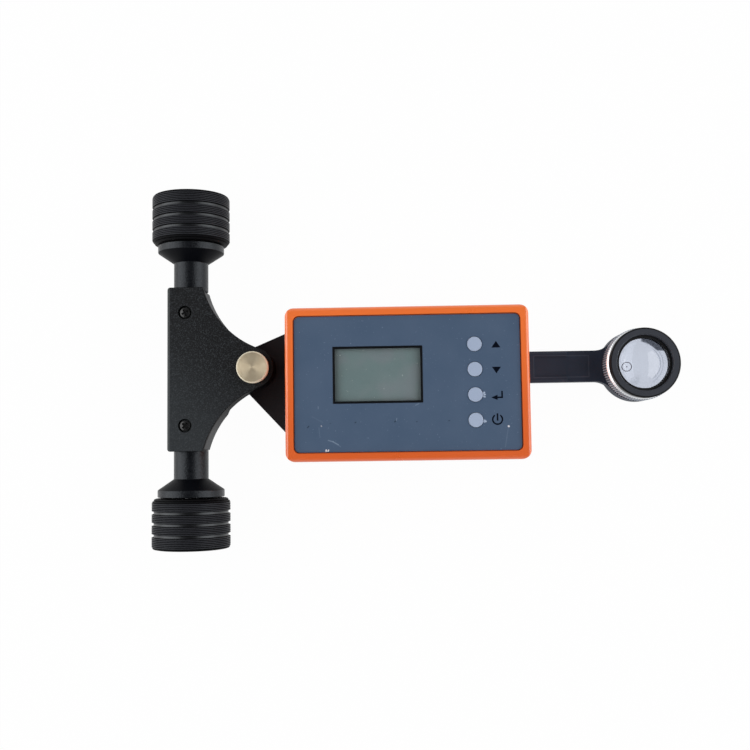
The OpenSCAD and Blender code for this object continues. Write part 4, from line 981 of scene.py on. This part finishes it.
def screwRecipe(values):
    recipe = Recipe("pan_screw", values)
    sheet = recipe.sheet
    wires = recipe.wires
    height = wires["Head Height"]
    cylinder = {"Vertices": screwSteps["around"], "Side Segments": screwSteps["side"],
                "Fill Segments": screwSteps["rings"], "Radius": wires["Head"] / 2, "Depth": height}
    head = sheet.add("GeometryNodeMeshCylinder", None, cylinder)
    lift = sheet.join(0, 0, height / 2)
    head = sheet.add("GeometryNodeTransform", None, {"Geometry": head, "Translation": lift})
    x, y, z = sheet.split(sheet.add("GeometryNodeInputPosition"))
    reach = (x * x + y * y) / (wires["Head"] * wires["Head"] / 4)
    drop = (z > height * 0.5) * reach * wires["Dome"] * (z / height)
    lower = sheet.join(0, 0, 0 - drop)
    head = sheet.add("GeometryNodeSetPosition", None, {"Geometry": head, "Offset": lower})
    cutters = []
    for turn in (0, math.pi / 2):
        size = sheet.join(wires["Cross Length"], wires["Cross Width"], wires["Cross Depth"] * 2)
        cutter = sheet.add("GeometryNodeMeshCube", None, {"Size": size})
        place = {"Geometry": cutter, "Translation": sheet.join(0, 0, height), "Rotation": (0, 0, turn)}
        cutters.append(sheet.add("GeometryNodeTransform", None, place))
    cut = {"operation": "DIFFERENCE", "solver": "EXACT"}
    head = sheet.add("GeometryNodeMeshBoolean", cut, {0: head, 1: cutters})
    length = wires["Shank Length"]
    cylinder = {"Vertices": screwSteps["shank"], "Radius": wires["Shank"] / 2, "Depth": length}
    shank = sheet.add("GeometryNodeMeshCylinder", None, cylinder)
    low = sheet.join(0, 0, length * -0.5 + shankOverlap)
    shank = sheet.add("GeometryNodeTransform", None, {"Geometry": shank, "Translation": low})
    screw = sheet.add("GeometryNodeJoinGeometry", None, {0: [head, shank]})
    named = "GeometryNodeInputNamedAttribute"
    facing = sheet.add(named, {"data_type": "FLOAT_VECTOR"}, {"Name": "facing"})
    twist = sheet.add(named, {"data_type": "FLOAT"}, {"Name": "twist"})
    stand = sheet.add("FunctionNodeAlignRotationToVector", {"axis": "Z"}, {"Vector": facing})
    spin = sheet.add("FunctionNodeAxisAngleToRotation", None, {"Axis": (0, 0, 1), "Angle": twist})
    stand = sheet.add("FunctionNodeRotateRotation", {"rotation_space": "LOCAL"}, {0: stand, 1: spin})
    spread = {"Points": wires["Geometry"], "Instance": screw, "Rotation": stand}
    recipe.close(sheet.add("GeometryNodeInstanceOnPoints", None, spread), wires["Finish"])
    return recipe


panScrew = screwRecipe(largeScrew)


def makeScrews(name, seats, body, replaced, changes):
    mesh = bpy.data.meshes.new(name)
    mesh.from_pydata([tuple(seat[0]) for seat in seats], [], [])
    mesh.attributes.new("facing", "FLOAT_VECTOR", "POINT")
    mesh.attributes.new("twist", "FLOAT", "POINT")
    for number, (spot, way, turn) in enumerate(seats):
        mesh.attributes["facing"].data[number].vector = way
        mesh.attributes["twist"].data[number].value = math.radians(turn)
    piece = newPiece(name, mesh)
    values = dict(largeScrew)
    values.update(changes)
    panScrew.use(piece, values)
    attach(piece, body)
    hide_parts(*replaced)


def makeAllScrews():
    up = (0, 0, 1)
    down = (0, 0, -1)
    inset = largeScrew["Head"] / 2
    headHeight = largeScrew["Head Height"]
    low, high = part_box("cover_screws")
    x = middle("cover_screws").x
    seatZ = high.z - headHeight
    seats = [(Vector((x, high.y - inset, seatZ)), up, screwTwist["back"]),
             (Vector((x, low.y + inset, seatZ)), up, screwTwist["front"])]
    makeScrews("carriage_cover_screws", seats, "carriage", ["cover_screws"], coverScrew)
    low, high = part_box("case_screws")
    seatZ = low.z + headHeight
    seats = []
    for x in (low.x + inset, high.x - inset):
        for y in (low.y + inset, high.y - inset):
            twist = screwTwist["case"] + screwTwist["caseSpread"] * (x + 2 * y)
            seats.append((Vector((x, y, seatZ)), down, twist))
    makeScrews("case_floor_screws", seats, "body", ["case_screws"], caseScrew)
    low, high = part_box("roller_screws")
    axle = middle("roller_screws")
    seats = []
    for side, end in ((1, high.y), (-1, low.y)):
        spot = Vector((axle.x, end - side * headHeight, axle.z))
        seats.append((spot, (0, side, 0), screwTwist["roller"] * side))
    makeScrews("roller_end_screws", seats, "rollers", ["roller_screws"], rollerScrew)
    spot = foot("battery_cover_screw")
    spot.z += doorScrew["Head Height"]
    seats = [(spot, down, screwTwist["door"])]
    makeScrews("battery_door_screw", seats, "body", ["battery_cover_screw"], doorScrew)


makeAllScrews()
print("screws made")

# Printed signs beside the keys
icons = {  # millimetres, and degrees for the gap
    "aside": 9.26, "lifts": (-0.3, -0.5, -0.5, 0.13), "film": 0.03, "sunk": 0.01, "stroke": 0.66,
    "ring": 2.08, "ringSteps": 40, "gap": 33, "wide": 1.95, "base": 1.4, "tip": 1.45,
}
arrow = {"reach": 2.5, "neck": 0.2, "shaftY": -0.87, "barb": 1.1, "top": 1.9}
powerBar = {"low": -0.55, "high": 2.6}


def slab(form, outline, shift, low, high):  # thin plate with a straight-sided outline
    bottom = [form.verts.new(((x + shift[0]) * mm, (y + shift[1]) * mm, low)) for x, y in outline]
    top = [form.verts.new(((x + shift[0]) * mm, (y + shift[1]) * mm, high)) for x, y in outline]
    form.faces.new(top)
    form.faces.new(bottom[::-1])
    count = len(outline)
    for number in range(count):
        after = (number + 1) % count
        form.faces.new((bottom[number], bottom[after], top[after], top[number]))


def arcBand(inner, outer, start, end, steps):
    turns = [math.radians(start + (end - start) * step / steps) for step in range(steps + 1)]
    far = [(outer * math.cos(turn), outer * math.sin(turn)) for turn in turns]
    near = [(inner * math.cos(turn), inner * math.sin(turn)) for turn in turns]
    return far + near[::-1]


def printFilm(form, name, ink):
    mesh = finishMesh(form, name)
    mesh.materials.append(ink)
    piece = newPiece(name, mesh)
    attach(piece, "body")


def makeIcons():
    form = bmesh.new()
    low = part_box("display_panel")[1].z - icons["sunk"] * mm
    high = low + icons["film"] * mm + icons["sunk"] * mm
    half = icons["stroke"] / 2
    places = []
    for key, lift in zip(("button_up", "button_down", "button_enter", "button_power"), icons["lifts"]):
        spot = middle(key) / mm
        places.append((spot.x + icons["aside"], spot.y + lift))
    up, down, enter, power = places
    wide = icons["wide"]
    base = icons["base"]
    slab(form, [(-wide, -base), (wide, -base), (0, icons["tip"])], up, low, high)
    slab(form, [(-wide, base), (0, -icons["tip"]), (wide, base)], down, low, high)
    reach = arrow["reach"]
    neck = arrow["neck"]
    shaftLow = arrow["shaftY"] - half
    shaftHigh = arrow["shaftY"] + half
    inner = reach - icons["stroke"]
    head = [(-reach, arrow["shaftY"]), (neck, arrow["shaftY"] - arrow["barb"]), (neck, shaftLow),
            (reach, shaftLow), (reach, arrow["top"]), (inner, arrow["top"]), (inner, shaftHigh),
            (neck, shaftHigh), (neck, arrow["shaftY"] + arrow["barb"])]
    slab(form, head, enter, low, high)
    start = 90 + icons["gap"]
    end = 450 - icons["gap"]
    ring = arcBand(icons["ring"] - half, icons["ring"] + half, start, end, icons["ringSteps"])
    slab(form, ring, power, low, high)
    bar = [(-half, powerBar["low"]), (half, powerBar["low"]), (half, powerBar["high"]),
           (-half, powerBar["high"])]
    slab(form, bar, power, low, high)
    printFilm(form, "key_icons", iconInk)


makeIcons()

# Tracer mark on the glass disc
mark = {  # millimetres
    "radius": 1.12, "stroke": 0.18, "dot": 0.16, "film": 0.03, "sunk": 0.005, "aside": -0.1, "lift": 0.6,
    "steps": 64, "dotSteps": 16,
}


def makeMark():
    form = bmesh.new()
    centre = middle("reticle_disc") / mm + Vector((mark["aside"], mark["lift"], 0))
    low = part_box("reticle_disc")[1].z - mark["sunk"] * mm
    film = mark["film"] * mm
    inner = (mark["radius"] - mark["stroke"] / 2) * mm
    outer = (mark["radius"] + mark["stroke"] / 2) * mm
    profile = [(outer, 0), (outer, film), (inner, film), (inner, 0), (outer, 0)]
    turned(form, profile, mark["steps"], Vector((centre.x * mm, centre.y * mm, low)), "Z")
    dot = []
    for step in range(mark["dotSteps"]):
        turn = 2 * math.pi * step / mark["dotSteps"]
        dot.append((mark["dot"] * math.cos(turn), mark["dot"] * math.sin(turn)))
    slab(form, dot, centre, low, low + film)
    printFilm(form, "tracer_mark", markInk)


makeMark()
print("marks made")

# Floor, light and camera
studio = {
    "lampPower": 4.6, "lampWide": 0.8, "lampLong": 0.95, "lampReach": 0.75, "lampTilt": 60,
    "lampAim": 0.02,
    "zenith": 0.1, "zenithBlue": 1.04, "horizon": 0.78, "horizonEnd": 0.2, "zenithStart": 0.95,
    "floorGlow": 0.975, "floorGrey": 0.85, "floorHalf": 6, "floorDrop": 0.05 * mm,
}
camera = {
    "eye": (-6.32, -37.68, 473.74), "aim": (-0.02522, 0.07527, -0.99684),
    "up": (0.01585, 0.99707, 0.07489), "sensor": 36, "lens": 48.55, "near": 0.01,
}


def makeFloor():
    form = bmesh.new()
    bmesh.ops.create_grid(form, x_segments=1, y_segments=1, size=studio["floorHalf"])
    for vert in form.verts:
        vert.co.z = -studio["floorDrop"]
    mesh = bpy.data.meshes.new("floor")
    form.to_mesh(mesh)
    form.free()
    material, sheet = newFinish("floor_white")
    path = sheet.add("ShaderNodeLightPath")
    rays = path.socket.node.outputs
    seen = Wire(sheet, rays["Is Camera Ray"])
    seen = seen.most(Wire(sheet, rays["Is Glossy Ray"]))
    seen = seen.most(Wire(sheet, rays["Is Transmission Ray"]))
    grey = studio["floorGrey"]
    paper = sheet.add("ShaderNodeBsdfDiffuse", None, {"Color": (grey, grey, grey, 1)})
    glow = sheet.add("ShaderNodeEmission", None, {"Color": (1, 1, 1, 1), "Strength": 1.0})
    sheet.blend(seen * studio["floorGlow"], paper, glow)
    mesh.materials.append(material)
    newPiece("floor", mesh)


def makeWorld():
    world = bpy.data.worlds.new("studio")
    world.use_nodes = True
    world.node_tree.nodes.clear()
    scene.world = world
    sheet = Sheet(world.node_tree)
    way = sheet.add("ShaderNodeTexCoord", None, None, "Generated")
    z = sheet.split(way)[2]
    level = sheet.smooth(z, studio["horizonEnd"], studio["zenithStart"])
    grey = studio["horizon"]
    dim = studio["zenith"]
    colour = sheet.mix(level, (grey, grey, grey, 1), (dim, dim, dim * studio["zenithBlue"], 1))
    sky = sheet.add("ShaderNodeBackground", None, {"Color": colour, "Strength": 1.0})
    sheet.add("ShaderNodeOutputWorld", None, {"Surface": sky})


def makeLamps():
    aim = Vector((0, 0, studio["lampAim"]))
    tilt = math.radians(studio["lampTilt"])
    for name, side in (("lamp_left", -1), ("lamp_right", 1)):
        lamp = bpy.data.lights.new(name, "AREA")
        lamp.shape = "RECTANGLE"
        lamp.size = studio["lampWide"]
        lamp.size_y = studio["lampLong"]
        lamp.energy = studio["lampPower"]
        holder = bpy.data.objects.new(name, lamp)
        holder.location = aim + studio["lampReach"] * Vector((side * math.sin(tilt), 0, math.cos(tilt)))
        holder.rotation_euler = (0, side * tilt, 0)
        scene.collection.objects.link(holder)


def makeCamera():
    eye = Vector(camera["eye"]) * mm
    aim = Vector(camera["aim"]).normalized()
    side = aim.cross(Vector(camera["up"])).normalized()
    lens = bpy.data.cameras.new("camera")
    lens.sensor_width = camera["sensor"]
    lens.lens = camera["lens"]
    lens.clip_start = camera["near"]
    holder = bpy.data.objects.new("camera", lens)
    turn = Matrix((side, side.cross(aim), -aim)).transposed().to_4x4()
    holder.matrix_world = Matrix.Translation(eye) @ turn
    scene.collection.objects.link(holder)
    scene.camera = holder


makeFloor()
makeWorld()
makeLamps()
makeCamera()
print("studio ready")

bpy.context.view_layer.update()
